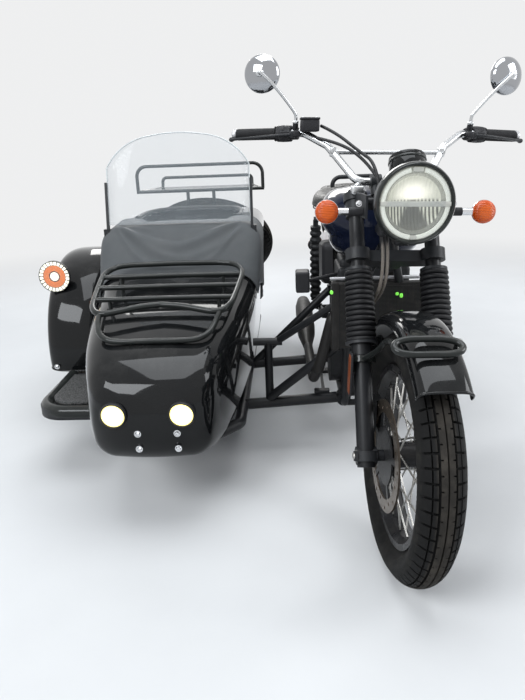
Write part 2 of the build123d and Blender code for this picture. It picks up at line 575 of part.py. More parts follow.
# Engine: crankcase with round covers, finned cylinders and head; radiator in front of it
case = block((-98, 98), CASE_Y, CASE_Z, 18)
covers = [Pos(side * 122, 700, 372) * Rot(0, 90, 0) * Cylinder(96, 52) for side in (-1, 1)]
covers += [Pos(side * 116, 872, 372) * Rot(0, 90, 0) * Cylinder(72, 40) for side in (-1, 1)]
gearbox = block((-64, 64), (CASE_Y[1] - 20, 1092), (330, 470), 10)
front_sprocket = across(FRONT_SPROCKET_R, (CHAIN_X + 6 - 60) / 2, (CHAIN_X + 6 + 60) / 2, SPROCKET_Y, PIVOT_Z)
block_low, block_high = CASE_Z[1] - 20, 660
barrels = block((-CYLINDER_HALF + 14, CYLINDER_HALF - 14), (622, 786), (block_low, block_high + 4), 10)
fin_pitch = (block_high - CASE_Z[1] - 24) / (FIN_COUNT - 1)
fins = [block((-CYLINDER_HALF, CYLINDER_HALF), (608, 800), (z, z + 5))
        for z in [CASE_Z[1] + 18 + k * fin_pitch for k in range(FIN_COUNT)]]
head = block((-CYLINDER_HALF - 4, CYLINDER_HALF + 4), (606, 802), (block_high, 716), 12)
cam_cover = block((-CYLINDER_HALF + 4, CYLINDER_HALF - 4), (626, 782), (706, 744), 14)
engine = fused(case, *covers, gearbox, front_sprocket, barrels, *fins, head, cam_cover)
keep("engine", "chassis", engine)

rear_in, front_in = SPROCKET_R + SEAT_FIT, FRONT_SPROCKET_R + SEAT_FIT
sprocket_gap = math.hypot(WHEELBASE - SPROCKET_Y, PIVOT_Z - AXLE_Z)


def belt_face(r_rear, r_front):
    """The outline of a taut loop round two wheels, in (back, up) coordinates on the YZ plane."""
    slope = math.atan2(PIVOT_Z - AXLE_Z, WHEELBASE - SPROCKET_Y)
    wrap = math.asin((r_rear - r_front) / sprocket_gap)
    rear, front = (WHEELBASE, AXLE_Z, r_rear), (SPROCKET_Y, PIVOT_Z, r_front)
    shapes = [Pos(cy, cz) * Circle(r) for cy, cz, r in (rear, front)]
    corners = []
    for sign, (cy, cz, r) in ((1, rear), (1, front), (-1, front), (-1, rear)):
        angle = -slope + sign * (math.pi / 2 + wrap)
        corners.append((cy + r * math.cos(angle), cz + r * math.sin(angle)))
    return Sketch() + [*shapes, make_face(Polyline(*corners, close=True))]


loop_plane = Plane(origin=(CHAIN_X - CHAIN_W / 2, 0, 0), x_dir=(0, 1, 0), z_dir=(1, 0, 0))
chain = extrude(loop_plane * belt_face(rear_in + CHAIN_T, front_in + CHAIN_T), CHAIN_W)
chain -= extrude(loop_plane * belt_face(rear_in, front_in), CHAIN_W)
keep("drive_chain", "chassis", chain)
guard_plane = Plane(origin=(CHAIN_X - 14, 0, 0), x_dir=(0, 1, 0), z_dir=(1, 0, 0))
chain_guard = extrude(guard_plane * make_face(Polyline(
    (1216, 440), (1216, 474), (WHEELBASE - 10, 452), (WHEELBASE + 70, 430), (WHEELBASE + 66, 418),
    (WHEELBASE - 10, 438), close=True)), 36)
guard_arm = rod((CHAIN_X + 18, 1300, 455), (ARM_X, 1300, 388), 6)
keep("swing_arm", "chassis", fused(swing_arm, chain_guard, guard_arm))

radiator = block((-146, 146), (430, 462), (486, 700), 4)
radiator_frame = [block((side * 146 - 12, side * 146 + 12), (424, 468), (478, 706), 6) for side in (-1, 1)]
top_rod = across(5, 162, 0, 440, 714)
fan = Pos(0, 474, 590) * Rot(90, 0, 0) * Cylinder(92, 20)
rod_feet = [rod((side * 140, 440, 700), (side * 140, 440, 712), 5) for side in (-1, 1)]
tube_room = bent(down_tube, FRAME_TUBE_R + 0.5, 30)
radiator_shape = fused(radiator, *radiator_frame, top_rod, fan, *rod_feet) - frame_shape
radiator_shape = radiator_shape - tube_room - mirrored(tube_room)
keep("radiator", "chassis", radiator_shape.solids().sort_by(SortBy.VOLUME)[-1])
coolant_box = block((-268, -220), (570, 640), (640, 712), 8)
box_arm = rod((-222, 604, 676), (-CYLINDER_HALF - 4.3, 640, 690), 6)
reservoir = fused(coolant_box, box_arm) - engine

exhausts = []
for side in (-1, 1):
    pipe = bent([(side * 62, 605.4, 684), (side * 64, 566, 668), (side * 150, 522, 560),
                 (side * 194, 540, 380), (side * 208, 640, 306), (side * 214, 1040, 300)], EXHAUST_R, 40)
    can = make_face(Polyline(
        (0, 0), (EXHAUST_R, 0), (SILENCER_R - 4, 150), (SILENCER_R, 240), (SILENCER_R, 560),
        (SILENCER_R - 10, 660), (SILENCER_R - 14, 664), (SILENCER_R - 14, 600), (0, 600), close=True))
    silencer = Plane(origin=(side * 216, 1030, 300), z_dir=(0, 1, 0.05)) * revolve(
        Plane(origin=(0, 0, 0), x_dir=(1, 0, 0), z_dir=(0, -1, 0)) * can, Axis.Z)
    exhausts.append(fused(pipe, silencer) - engine)
keep("exhausts", "chassis", *[e.solids().sort_by(SortBy.VOLUME)[-1] for e in exhausts])

# Fuel tank over the backbone, saddles, side covers and rear mudguard
tank_sections = [
    # y, half width, z of the bottom, z of the top, corner radius
    (486, 92, 800, 930, 34),
    (540, 150, 768, 966, 52),
    (640, TANK_HALF, 752, 984, 64),
    (760, TANK_HALF - 12, 756, 972, 60),
    (880, 118, 790, 922, 42),
]


def upright_section(x, y, half_low, half_high, low, high, radius):
    """A four-sided section with rounded corners, standing across the vehicle at y."""
    corners = [(-half_low, low), (half_low, low), (half_high, high), (-half_high, high)]
    face = make_face(Polyline(*corners, close=True))
    face = fillet(face.vertices(), radius)
    return Plane(origin=(x, y, 0), x_dir=(1, 0, 0), z_dir=(0, -1, 0)) * face


tank = loft([upright_section(0, y, half * 0.86, half, low, high, radius)
             for y, half, low, high, radius in tank_sections], ruled=True)
tank -= bent([(0, 372, 872), (0, 470, 862), (0, 900, 812), (0, 1060, 770)], 20 + SEAT_FIT, 90)
tank -= block((-20 - SEAT_FIT, 20 + SEAT_FIT), (470, 900), (740, 815))
tank -= block((-CYLINDER_HALF - 10, CYLINDER_HALF + 10), (600, 806), (700, 762))
keep("fuel_tank", "chassis", tank)
saddle_sections = [
    # y, half width, z of the bottom, z of the top, corner radius
    (888, 96, 846, 908, 22),
    (960, 150, 838, 934, 30),
    (1080, SADDLE_HALF, 834, 940, 34),
    (1180, SADDLE_HALF - 20, 838, 950, 30),
    (1212, 130, 850, 936, 28),
]
pillion_sections = [
    # y, half width, z of the bottom, z of the top, corner radius
    (1236, 120, 858, 926, 26),
    (1300, 146, 850, 948, 32),
    (1480, 140, 850, 944, 32),
    (1590, 104, 860, 930, 26),
]
saddle, pillion = [loft([upright_section(0, y, half * 0.9, half, low, high, radius)
                         for y, half, low, high, radius in sections], ruled=True)
                   for sections in (saddle_sections, pillion_sections)]
keep("rider_saddle", "chassis", saddle)
handle = bent([(-96, 1226, 880), (-96, 1226, 986), (96, 1226, 986), (96, 1226, 880)], 9, 34)
handle_feet = [block((side * 96 - 12, side * 96 + 12), (1217, 1300), (826, 849.7)) for side in (-1, 1)]
handle_ends = [rod((side * 96, 1226, 848), (side * 96, 1226, 884), 9) for side in (-1, 1)]
handle_shape = fused(handle, *handle_ends, *handle_feet)
seat_pan = block((-92, 92), (900, 1580), (826, 833.7))
seat_legs = [block((side * 84 - 12, side * 84 + 12), (y - 20, y + 20), (812.5, 827))
             for side in (-1, 1) for y in (1150, 1520)]
frame_shape = fused(frame_shape, seat_pan, *seat_legs, handle_shape) - saddle - pillion
keep("main_frame", "chassis", frame_shape.solids().sort_by(SortBy.VOLUME)[-1])
keep("pillion_saddle", "chassis", pillion)
side_covers = []
for side in (-1, 1):
    panel_steps = []
    for x, d in ((118, 0), (150, 3), (160, 16)):
        corners = [(880 + d, 600 + d), (1116 - d, 560 + d), (1140 - d, 740 - d), (900 + d, 764 - d)]
        face = make_face(Polyline(*corners, close=True))
        plane = Plane(origin=(x, 0, 0), x_dir=(0, 1, 0), z_dir=(1, 0, 0))
        panel_steps.append(plane * fillet(face.vertices(), 34 - d))
    panel_pin = across(8, 2, FRAME_X + FRAME_TUBE_R + SEAT_FIT + 2, 1132, 690)
    panel_shape = fused(loft(panel_steps, ruled=True), panel_pin)
    side_covers.append(panel_shape if side > 0 else mirrored(panel_shape))
cover_set = fused(*side_covers) - nodes["main_frame"]
air_box = block((-96, 96), (905, 1100), (600, 745), 12)
air_box -= fused(nodes["main_frame"])
carb = [rod((side * 50, 780, 640), (side * 50, 906, 650), 24) for side in (-1, 1)]
air_shape = fused(air_box, *carb) - engine
air_shape = air_shape.solids().sort_by(SortBy.VOLUME)[-1]
keep("side_covers_and_air_box", "chassis", *cover_set.solids(), air_shape, reservoir)

rear_guard = Pos(0, WHEELBASE, AXLE_Z) * hoop_guard(78, REAR_GUARD_R, 34, 3, 26, 14, 150)
stay_y = WHEELBASE - 78
stay_z = AXLE_Z + REAR_GUARD_R - 42
guard_stays = [block((side * 78 - 2, side * 78 + 2), (stay_y - 10, stay_y + 10), (stay_z, 800))
               for side in (-1, 1)]
rear_guard_shape = fused(rear_guard, across(6, FRAME_X + 3, 0, stay_y, 796), *guard_stays)
rear_guard_shape -= Pos(0, WHEELBASE, AXLE_Z) * across(WHEEL_R + 20, 74)
rear_guard_shape -= nodes["main_frame"]
keep("rear_mudguard", "chassis", rear_guard_shape.solids().sort_by(SortBy.VOLUME)[-1])


# Lamps and plate at the rear of the motorcycle
tail_y = WHEELBASE + REAR_GUARD_R * math.cos(math.radians(40))
tail_z = AXLE_Z + REAR_GUARD_R * math.sin(math.radians(40))
tail_lamp = facing_front([(0, 0), (0, 34), (34, 44), (52, 44), (60, 30), (62, 0)], tail_y - 4, 0, tail_z + 24)
tail_parts = [tail_lamp]
for side in (-1, 1):
    tail_parts.append(across(7, 46, side * 88, tail_y + 14, tail_z + 24))
    tail_parts.append(facing_front([(-18, 0), (-14, 20), (-4, 30), (12, 30), (18, 22), (20, 0)], tail_y + 14,
                                   side * 150, tail_z + 24))
guard_room = Pos(0, WHEELBASE, AXLE_Z) * across(REAR_GUARD_R + SEAT_FIT, 100)
keep("rear_lamps", "chassis", fused(*tail_parts) - guard_room)
plate_y = WHEELBASE + REAR_GUARD_R + 4
plate_holder = block((-40, 40), (plate_y - 52, plate_y - 2.3), (548, 560))
plate_back = block((-60, 60), (plate_y - 6, plate_y - 2), (520, 640))
plate = block((-110, 110), (plate_y - 2, plate_y), (500, 660))
plate_bolts = [Pos(x, plate_y, 620) * Rot(90, 0, 0) * Cylinder(3.2, 30) for x in (-40, 40)]
plate_shape = fused(plate_holder, plate_back, plate) - plate_bolts
plate_shape = plate_shape - nodes["rear_mudguard"] - nodes["rear_lamps"]
keep("number_plate", "chassis", plate_shape.solids().sort_by(SortBy.VOLUME)[-1])

# Foot rests, brake pedal and gear lever
foot_sets = []
for side in (-1, 1):
    peg = across(11, 42, side * 208, 830, 262)
    foot_sets.append(fused(peg, block(sorted((side * 98.3, side * 166)), (812, 848), (256, 268))))
brake_pedal = fused(block((-176, -166), (640, 830), (246, 258)),
                    block((-206, -150), (620, 650), (240, 262), 4))
gear_lever = fused(block((166, 176), (640, 830), (250, 262)), across(7, 22, 192, 648, 262))
foot_sets = [fused(rest, lever) - engine - nodes["exhausts"] - nodes["main_frame"]
             for rest, lever in zip(foot_sets, (brake_pedal, gear_lever))]
keep("foot_controls", "chassis", *foot_sets)


# Sidecar body, hollow, with cockpit, bulkhead and boot
def hull_loft(grow):
    """The closed outer form of the sidecar body, every face moved outwards by grow."""
    sections = []
    for index, (y, half_low, half_high, low, high, radius) in enumerate(HULL_SECTIONS):
        end_shift = -grow if index == 0 else grow if index == len(HULL_SECTIONS) - 1 else 0
        sections.append(upright_section(HULL_X, y + end_shift, half_low + grow, half_high + grow, low - grow,
                                        high + grow, max(radius + grow, 5)))
    return loft(sections, ruled=True)


def in_hull_x(half):
    return (HULL_X - half, HULL_X + half)


hull_outer = hull_loft(0)
hull = hull_outer - hull_loft(-HULL_WALL)
tail_cut = block(in_hull_x(LID_HALF), LID_Y, (420, 1000))
hull -= block(in_hull_x(COCKPIT_HALF), (COWL_Y[0] + 20, COCKPIT_Y[1]), (640, 1000))
lid_shell = (hull_outer - hull_loft(-HULL_WALL)) & tail_cut
hull -= block(in_hull_x(LID_HALF + LID_GAP), (LID_Y[0] - LID_GAP, LID_Y[1] + LID_GAP), (380, 1000))
bulkhead = hull_loft(-HULL_WALL + 1) & block(in_hull_x(400), (BULKHEAD_Y - 6, BULKHEAD_Y + 6), (200, 1000))
hull_knuckles = []
for x in (HULL_X - HINGE_X, HULL_X + HINGE_X):
    for side in (-1, 1):
        middle = x + side * (24 + SEAT_FIT + 8)
        hull_knuckles += [across(7, 8, middle, HINGE_Y, HINGE_Z),
                          block((middle - 8, middle + 8), (HINGE_Y - 14, HINGE_Y), (HINGE_Z - 16, HINGE_Z))]
hull = fused(hull, bulkhead, *hull_knuckles)
keep("sidecar_body", "chassis", hull.solids().sort_by(SortBy.VOLUME)[-1])

tonneau = (hull_loft(0.4 + TONNEAU_T) - hull_loft(0.4)) & block(in_hull_x(400), COWL_Y, (600, 1000))
tonneau -= block(in_hull_x(COCKPIT_HALF - 20), (1010, 1200), (700, 1000))
keep("tonneau_cover", "chassis", tonneau.solids().sort_by(SortBy.VOLUME)[-1])

seat_low = block(in_hull_x(200), (1090, 1330), (252.3, 430), 24)
seat_back = Pos(HULL_X, 1346, 560) * Rot(-8, 0, 0) * fillet(Box(400, 90, 420).edges(), 24)
seat_back -= block(in_hull_x(300), (BULKHEAD_Y - 6.3, BULKHEAD_Y + 100), (200, 1000))
seat_back -= seat_low
keep("sidecar_seat", "chassis", seat_low, seat_back.solids().sort_by(SortBy.VOLUME)[-1])

# Windscreen with its side rails, and the nose rack
screen_plane = Plane(origin=(HULL_X, *SCREEN_FOOT), x_dir=(1, 0, 0),
                     z_dir=(0, -math.cos(math.radians(SCREEN_TILT)), math.sin(math.radians(SCREEN_TILT))))
straight_h = 218.0
corner, brow = SCREEN_HALF - 62, SCREEN_HALF - 170
screen_outline = [
    Line((-SCREEN_HALF, 0), (SCREEN_HALF, 0)), Line((SCREEN_HALF, 0), (SCREEN_HALF, straight_h)),
    ThreePointArc((SCREEN_HALF, straight_h), (corner, SCREEN_H - 50), (brow, SCREEN_H - 9)),
    ThreePointArc((brow, SCREEN_H - 9), (0, SCREEN_H), (-brow, SCREEN_H - 9)),
    ThreePointArc((-brow, SCREEN_H - 9), (-corner, SCREEN_H - 50), (-SCREEN_HALF, straight_h)),
    Line((-SCREEN_HALF, straight_h), (-SCREEN_HALF, 0))]
screen = extrude(screen_plane * make_face(screen_outline), SCREEN_T / 2, both=True)
screen -= hull_loft(0.4 + TONNEAU_T + SEAT_FIT)
keep("windscreen", "chassis", screen.solids().sort_by(SortBy.VOLUME)[-1])
rails = []
for side in (-1, 1):
    strip = screen_plane * Pos(side * (SCREEN_HALF + 5.3), 60, 0) * Box(10, 210, 12)
    foot = block(sorted((HULL_X + side * (SCREEN_HALF + 2), HULL_X + side * (SCREEN_HALF + 22))),
                 (SCREEN_FOOT[0] - 10, SCREEN_FOOT[0] + 14), (760, 840))
    rails.append(fused(strip, foot) - hull_loft(0.4 + TONNEAU_T + SEAT_FIT) - nodes["windscreen"])
keep("screen_rails", "chassis", *[r.solids().sort_by(SortBy.VOLUME)[-1] for r in rails])

rack_loop = [(0, 440, 648), (188, 428, 630), (236, 520, 668), (252, 690, 716), (196, 748, 726), (0, 752, 728)]
rack = [bent([(HULL_X + side * x, y, z) for x, y, z in rack_loop], NOSE_RACK_R, 34) for side in (-1, 1)]
for bar_y, bar_z, half in ((522, 669, 236), (588, 687, 242), (656, 706, 248)):
    rack.append(across(7, half, HULL_X, bar_y, bar_z))
for side in (-1, 1):
    for foot_y, foot_z in ((522, 669), (656, 706)):
        rack.append(rod((HULL_X + side * 180, foot_y, foot_z - 80), (HULL_X + side * 180, foot_y, foot_z), 7))
lower_half = [(128, 286, 586), (174, 330, 606), (182, 470, 674)]
lower_hoop = [(-x, y, z) for x, y, z in reversed(lower_half)] + lower_half
rack.append(bent([(HULL_X + x, y, z) for x, y, z in lower_hoop], NOSE_RACK_R - 1, 20))
rack_shape = fused(*rack) - hull_loft(SEAT_FIT)
keep("nose_rack", "chassis", rack_shape.solids().sort_by(SortBy.VOLUME)[-1])

fogs = []
for side in (-1, 1):
    lamp = facing_front([(-46, 0), (-48, FOG_R - 6), (-44, FOG_R), (-14, FOG_R), (6, FOG_R - 12), (10, 0)],
                        150, HULL_X + side * FOG_X, FOG_Z)
    stud = Pos(HULL_X + side * FOG_X, 150, FOG_Z) * Rot(90, 0, 0) * Cylinder(9, 80)
    fogs.append(fused(lamp, stud) - hull_loft(SEAT_FIT))
keep("fog_lamps", "chassis", *[f.solids().sort_by(Axis.Y)[0] for f in fogs])

# Chassis of the sidecar, and the struts that brace it to the motorcycle
chassis_tubes = []
near_x, far_x = HULL_X + CHASSIS_HALF, HULL_X - CHASSIS_HALF
post_x = near_x + POST_OUT
front_y, back_y = CHASSIS_Y
chassis_tubes.append(bent([(near_x, back_y, CHASSIS_Z), (near_x, front_y + 80, CHASSIS_Z),
                           (near_x - 70, front_y, CHASSIS_Z), (far_x + 70, front_y, CHASSIS_Z),
                           (far_x, front_y + 80, CHASSIS_Z), (far_x, back_y, CHASSIS_Z)],
                          CHASSIS_TUBE_R - 2, 40))
for y in CROSS_Y:
    chassis_tubes.append(across(CHASSIS_TUBE_R - 3, (near_x - far_x) / 2, (near_x + far_x) / 2, y, CHASSIS_Z))
for x in (near_x - 80, far_x + 80):
    for y, z_face in ((front_y, 246), (CROSS_Y[1], 244), (CROSS_Y[3], 258)):
        chassis_tubes.append(block((x - 22, x + 22), (y - 18, y + 18), (CHASSIS_Z, z_face)))
loop_x, loop_y = SIDECAR_X + 143, SIDECAR_AXLE_Y - 180
chassis_tubes.append(bent([(far_x, loop_y, CHASSIS_Z), (loop_x, loop_y, CHASSIS_Z + 8), (loop_x, loop_y, 600),
                           (loop_x, loop_y + 100, 640)], 12, 24))
step_y, bar_z = SIDECAR_AXLE_Y - 680, 240 - 11 - SEAT_FIT
step_bars = [rod((far_x + 6, y, bar_z), (SIDECAR_X + 95, y, bar_z), 11) for y in (step_y, step_y + 200)]
guard_face = SIDECAR_X + GUARD_HALF + SEAT_FIT
bar_table = [
    # from the chassis, angle round the sidecar's axle
    ((loop_x, loop_y + 52, 620), 110), ((loop_x, loop_y, 586), 124), ((far_x, loop_y - 194, 224), 184.6)]
guard_bars = []
for start, angle in bar_table:
    guard_bars.append(rod(start, (guard_face - 8, *round_axle(GUARD_R - 40, angle, SIDECAR_AXLE_Y)), 9))
guard_side = block((guard_face - 60, guard_face), (SIDECAR_AXLE_Y - GUARD_R - 10, SIDECAR_AXLE_Y), (200, 800))
chassis_shape = fused(*chassis_tubes, *(fused(*guard_bars) - guard_side), *step_bars) - hull_loft(SEAT_FIT)
clamps = []
for y in (STRUT_Y, 1060.0):
    ring = Cylinder(25, 50) - Cylinder(FRAME_TUBE_R + SEAT_FIT, 60)
    ring = Pos(-FRAME_X, y, RAIL_Z) * Rot(90, 0, 0) * ring
    tube = rod((-FRAME_X - 24, y, RAIL_Z), (near_x + 10, y, CHASSIS_Z), 20)
    clamps += [ring, tube]
post = rod((post_x, STRUT_Y, RAIL_Z - 6), (post_x, STRUT_Y, 452), 15)
post_bar = across(14, 52, post_x - 2, STRUT_Y, 455)
upper_front = rod((-FRAME_X - 10, 552, 470), (post_x + 4, STRUT_Y - 10, 246), 16)
upper_clamp = Pos(-FRAME_X, 540, 476) * (Cylinder(24, 44) - Cylinder(FRAME_TUBE_R + 1.5, 60))
second = rod((-116, 1134, 522), (near_x + 26, 1060, 226), 16)
second_clamp = Pos(-FRAME_X, PIVOT_Y, 520) * (Cylinder(24, 44) - Cylinder(FRAME_TUBE_R + SEAT_FIT, 60))
top_strut = rod((-64, 470, 674), (post_x + 40, STRUT_Y - 6, 462), 12)
struts = fused(*clamps, post, post_bar, upper_front, upper_clamp, second, second_clamp, top_strut)
for name in ("main_frame", "engine", "side_covers_and_air_box", "sidecar_body", "exhausts", "foot_controls"):
    struts -= nodes[name]
struts -= chassis_shape
keep("sidecar_chassis", "chassis", chassis_shape.solids().sort_by(SortBy.VOLUME)[-1])
strut_solids = [part for part in struts.solids() if part.volume > 5000]
keep("sidecar_struts", "chassis", *strut_solids)

# Sidecar wheel: stub axle on a trailing arm with its spring unit, mudguard, lamps and step
arm_side_x = SIDECAR_X + 90
arm_pivot_y = SIDECAR_AXLE_Y - 240
arm = rod((arm_side_x, arm_pivot_y, 226), (arm_side_x, SIDECAR_AXLE_Y, AXLE_Z), 15)
pivot = across(15, (far_x - 8 - arm_side_x) / 2 + 8, (far_x - 8 + arm_side_x) / 2, arm_pivot_y, 224)
arm_eye = across(26, 14, arm_side_x, SIDECAR_AXLE_Y, AXLE_Z)
stub_end = SIDECAR_X - HUB_HALF - 8
stub = across(AXLE_R, (arm_side_x - stub_end) / 2, (arm_side_x + stub_end) / 2, SIDECAR_AXLE_Y, AXLE_Z)
stub_inner = SIDECAR_X + DISC_X + DISC_T / 2 + SEAT_FIT
stub_collar = across(15, (arm_side_x - 14 - stub_inner) / 2, (arm_side_x - 14 + stub_inner) / 2,
                     SIDECAR_AXLE_Y, AXLE_Z)
end_nut = across(16, 4, SIDECAR_X - HUB_HALF - SEAT_FIT - 4, SIDECAR_AXLE_Y, AXLE_Z)
unit_x, unit_y = SIDECAR_X + 141, SIDECAR_AXLE_Y - 34
side_unit = spring_unit((unit_x, unit_y, AXLE_Z), (unit_x, unit_y - 54, 626), 17, 9)
unit_pin = rod((arm_side_x, unit_y - 2, AXLE_Z - 18), (unit_x + 8, unit_y - 2, AXLE_Z - 18), 8)
unit_eye = across(14, 8, unit_x, unit_y, AXLE_Z - 4)
suspension = fused(arm, pivot, arm_eye, stub, stub_collar, end_nut, side_unit, unit_pin, unit_eye)
suspension = suspension - nodes["sidecar_chassis"] - nodes["sidecar_body"]
side_caliper = block((SIDECAR_X + CALIPER_IN, SIDECAR_X + 74), (SIDECAR_AXLE_Y - 34, SIDECAR_AXLE_Y + 34),
                     (AXLE_Z + 106, AXLE_Z + 156), 5)
side_caliper -= across(DISC_R + 4, DISC_T / 2 + 3, SIDECAR_X + DISC_X, SIDECAR_AXLE_Y, AXLE_Z)
caliper_arm = block((SIDECAR_X + 66, SIDECAR_X + 78), (SIDECAR_AXLE_Y - 14, SIDECAR_AXLE_Y + 14),
                    (AXLE_Z + 20, AXLE_Z + 140))
suspension = fused(suspension, side_caliper, caliper_arm)
keep("sidecar_suspension", "chassis", suspension.solids().sort_by(SortBy.VOLUME)[-1])

side_guard = hoop_guard(GUARD_HALF, GUARD_R, 60, GUARD_T, 26, 10, 188)
side_guard = Pos(SIDECAR_X, SIDECAR_AXLE_Y, AXLE_Z) * side_guard
guard_shape = side_guard - nodes["sidecar_chassis"] - nodes["sidecar_suspension"]
keep("sidecar_mudguard", "chassis", guard_shape.solids().sort_by(SortBy.VOLUME)[-1])
lamp_x = SIDECAR_X - 74
lamp_y, lamp_z = round_axle(GUARD_R + 20.5, 129.66, SIDECAR_AXLE_Y)
rear_lamp_y, rear_lamp_z = round_axle(GUARD_R + 47.4, 31.73, SIDECAR_AXLE_Y)
lamp_profile = [(-10, 0), (-12, 40), (-6, 60), (6, 62), (20, 56), (34, 30), (60, 14), (90, 12), (90, 0)]
round_lamp = facing_front(lamp_profile, lamp_y, lamp_x, lamp_z)
rear_round = facing_front([(-60, 0), (-60, 10), (-20, 14), (-8, 34), (8, 34), (12, 20), (14, 0)],
                          rear_lamp_y, lamp_x + 30, rear_lamp_z)
lamp_shape = (round_lamp - nodes["sidecar_mudguard"]).solids().sort_by(SortBy.VOLUME)[-1]
rear_shape = (rear_round - nodes["sidecar_mudguard"]).solids().sort_by(Axis.Y)[-1]
keep("sidecar_lamps", "chassis", lamp_shape, rear_shape)

step_face = Pos(SIDECAR_X, step_y) * make_face([
    Line((-17, 280), (-17, 0)), ThreePointArc((-17, 0), (9, -78), (75, -110)),
    Line((75, -110), (190, -110)), Line((190, -110), (190, 280)), Line((190, 280), (-17, 280))])
step = Pos(0, 0, 240) * extrude(step_face, STEP_T)
step_recess = Pos(0, 0, 240 + STEP_T - 5) * extrude(offset(step_face, -22, kind=Kind.INTERSECTION), 20)
step_end = block((SIDECAR_X - 125, SIDECAR_X + 275), (step_y + 265, step_y + 340), (200, 400))
step = step - step_recess - step_end
step_shape = step - nodes["sidecar_chassis"] - nodes["sidecar_mudguard"] - nodes["sidecar_body"]
keep("sidecar_step", "chassis", step_shape.solids().sort_by(SortBy.VOLUME)[-1])

# Boot lid with the spare wheel and the luggage rack on it
tail_a, tail_b = HULL_SECTIONS[-2], HULL_SECTIONS[-1]
tail_slope = math.atan2(tail_a[4] - tail_b[4], tail_b[0] - tail_a[0])
tail_normal = Vector(0, math.sin(tail_slope), math.cos(tail_slope))
spare_seat = Vector(HULL_X, tail_a[0] + SPARE_ALONG * math.cos(tail_slope),
                    tail_a[4] - SPARE_ALONG * math.sin(tail_slope))
spare_plane = Plane(origin=spare_seat, x_dir=tail_normal, z_dir=(1, 0, 0))
spare_place = Plane(origin=spare_seat + tail_normal * SPARE_RISE, x_dir=tail_normal, z_dir=(1, 0, 0)).location
carrier = spare_plane.location * fused(
    Pos((SPARE_RISE - HUB_HALF) / 2 - 1, 0, 0) * Rot(0, 90, 0)
    * Cylinder(46, SPARE_RISE - HUB_HALF + 2 - 2 * SEAT_FIT),
    Pos(SPARE_RISE, 0, 0) * Rot(0, 90, 0) * Cylinder(AXLE_R, 2 * HUB_HALF + 30),
    Pos(SPARE_RISE + HUB_HALF + SEAT_FIT + 7, 0, 0) * Rot(0, 90, 0) * Cylinder(22, 14))
carrier -= spare_plane.location * Pos(-100, 0, 0) * Box(200, 400, 400)
knuckles = []
for side in (-1, 1):
    x = HULL_X + side * HINGE_X
    knuckles += [across(7, 24, x, HINGE_Y, HINGE_Z),
                 rod((x, HINGE_Y, HINGE_Z), (x, HINGE_Y + 22, HINGE_Z - 33), 5)]
lid_shape = fused(lid_shell.solids().sort_by(SortBy.VOLUME)[-1], carrier, *knuckles)
keep("boot_lid", "boot_lid", lid_shape.solids().sort_by(SortBy.VOLUME)[-1])
keep("spare_tyre", "boot_lid", spare_place * tyre)
keep("spare_rim", "boot_lid", spare_place * laced_rim)

hoop_y, end_y = LUGGAGE_Y
front_hoop = bent([(HULL_X + x, hoop_y, z) for x, z in (
    (-LUGGAGE_HALF, LUGGAGE_Z), (-LUGGAGE_HALF, LUGGAGE_TOP), (LUGGAGE_HALF, LUGGAGE_TOP),
    (LUGGAGE_HALF, LUGGAGE_Z))], 8, 48)
front_hoop = fused(front_hoop, across(8, LUGGAGE_HALF + 6, HULL_X, hoop_y, LUGGAGE_Z))
end_half = LUGGAGE_HALF - 66
side_x = LUGGAGE_HALF - 10
back_hoop = bent([(HULL_X - side_x, hoop_y, LUGGAGE_Z), (HULL_X - end_half, end_y, LUGGAGE_Z),
                  (HULL_X - end_half, end_y + 4, 988), (HULL_X + end_half, end_y + 4, 988),
                  (HULL_X + end_half, end_y, LUGGAGE_Z), (HULL_X + side_x, hoop_y, LUGGAGE_Z)], 8, 22)
slats = []
for k in range(LUGGAGE_SLATS):
    y = hoop_y + 30 + k * (end_y - hoop_y - 40) / (LUGGAGE_SLATS - 1)
    half = LUGGAGE_HALF - 6 - (LUGGAGE_HALF - end_half) * (y - hoop_y) / (end_y - hoop_y)
    slats.append(block(in_hull_x(half), (y - 14, y + 14), (LUGGAGE_Z + 1, LUGGAGE_Z + 5)))
foot_y = hoop_y + 10
foot_z = tail_a[4] - (foot_y - tail_a[0]) * math.tan(tail_slope) - 8
for x in (-62, 62):
    rail_x = HULL_X + x
    slats.append(block((rail_x - 10, rail_x + 10), (hoop_y - 4, end_y - 6), (LUGGAGE_Z - 4, LUGGAGE_Z + 1)))
    slats.append(rod((rail_x, foot_y, foot_z), (rail_x, foot_y, LUGGAGE_Z), 8))
rear_rack = fused(front_hoop, back_hoop, *slats) - nodes["boot_lid"]
keep("rear_rack", "boot_lid", rear_rack.solids().sort_by(SortBy.VOLUME)[-1])

# The steered parts are turned as the outfit was left parked, then everything moves to the shared origin
for name, body in bodies.items():
    if body in ("steering", "front_wheel"):
        nodes[name] = nodes[name].rotate(STEER_AXIS, PARKED_STEER)
boxes = [shape.bounding_box(optimal=True) for shape in nodes.values()]
low = [min(box.min.X for box in boxes), min(box.min.Y for box in boxes), min(box.min.Z for box in boxes)]
high = [max(box.max.X for box in boxes), max(box.max.Y for box in boxes), max(box.max.Z for box in boxes)]
shift = Vector(-(low[0] + high[0]) / 2, -(low[1] + high[1]) / 2, -low[2])
os.makedirs("parts", exist_ok=True)
for name, shape in nodes.items():
    export_step(shape.moved(Location(shift)), f"parts/{name}.step")
print("nodes", len(nodes), "size", [round(h - l, 1) for h, l in zip(high, low)], "moved by", shift)
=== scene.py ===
import math
import bpy
import bmesh
import numpy as np
from mathutils import Matrix, Vector


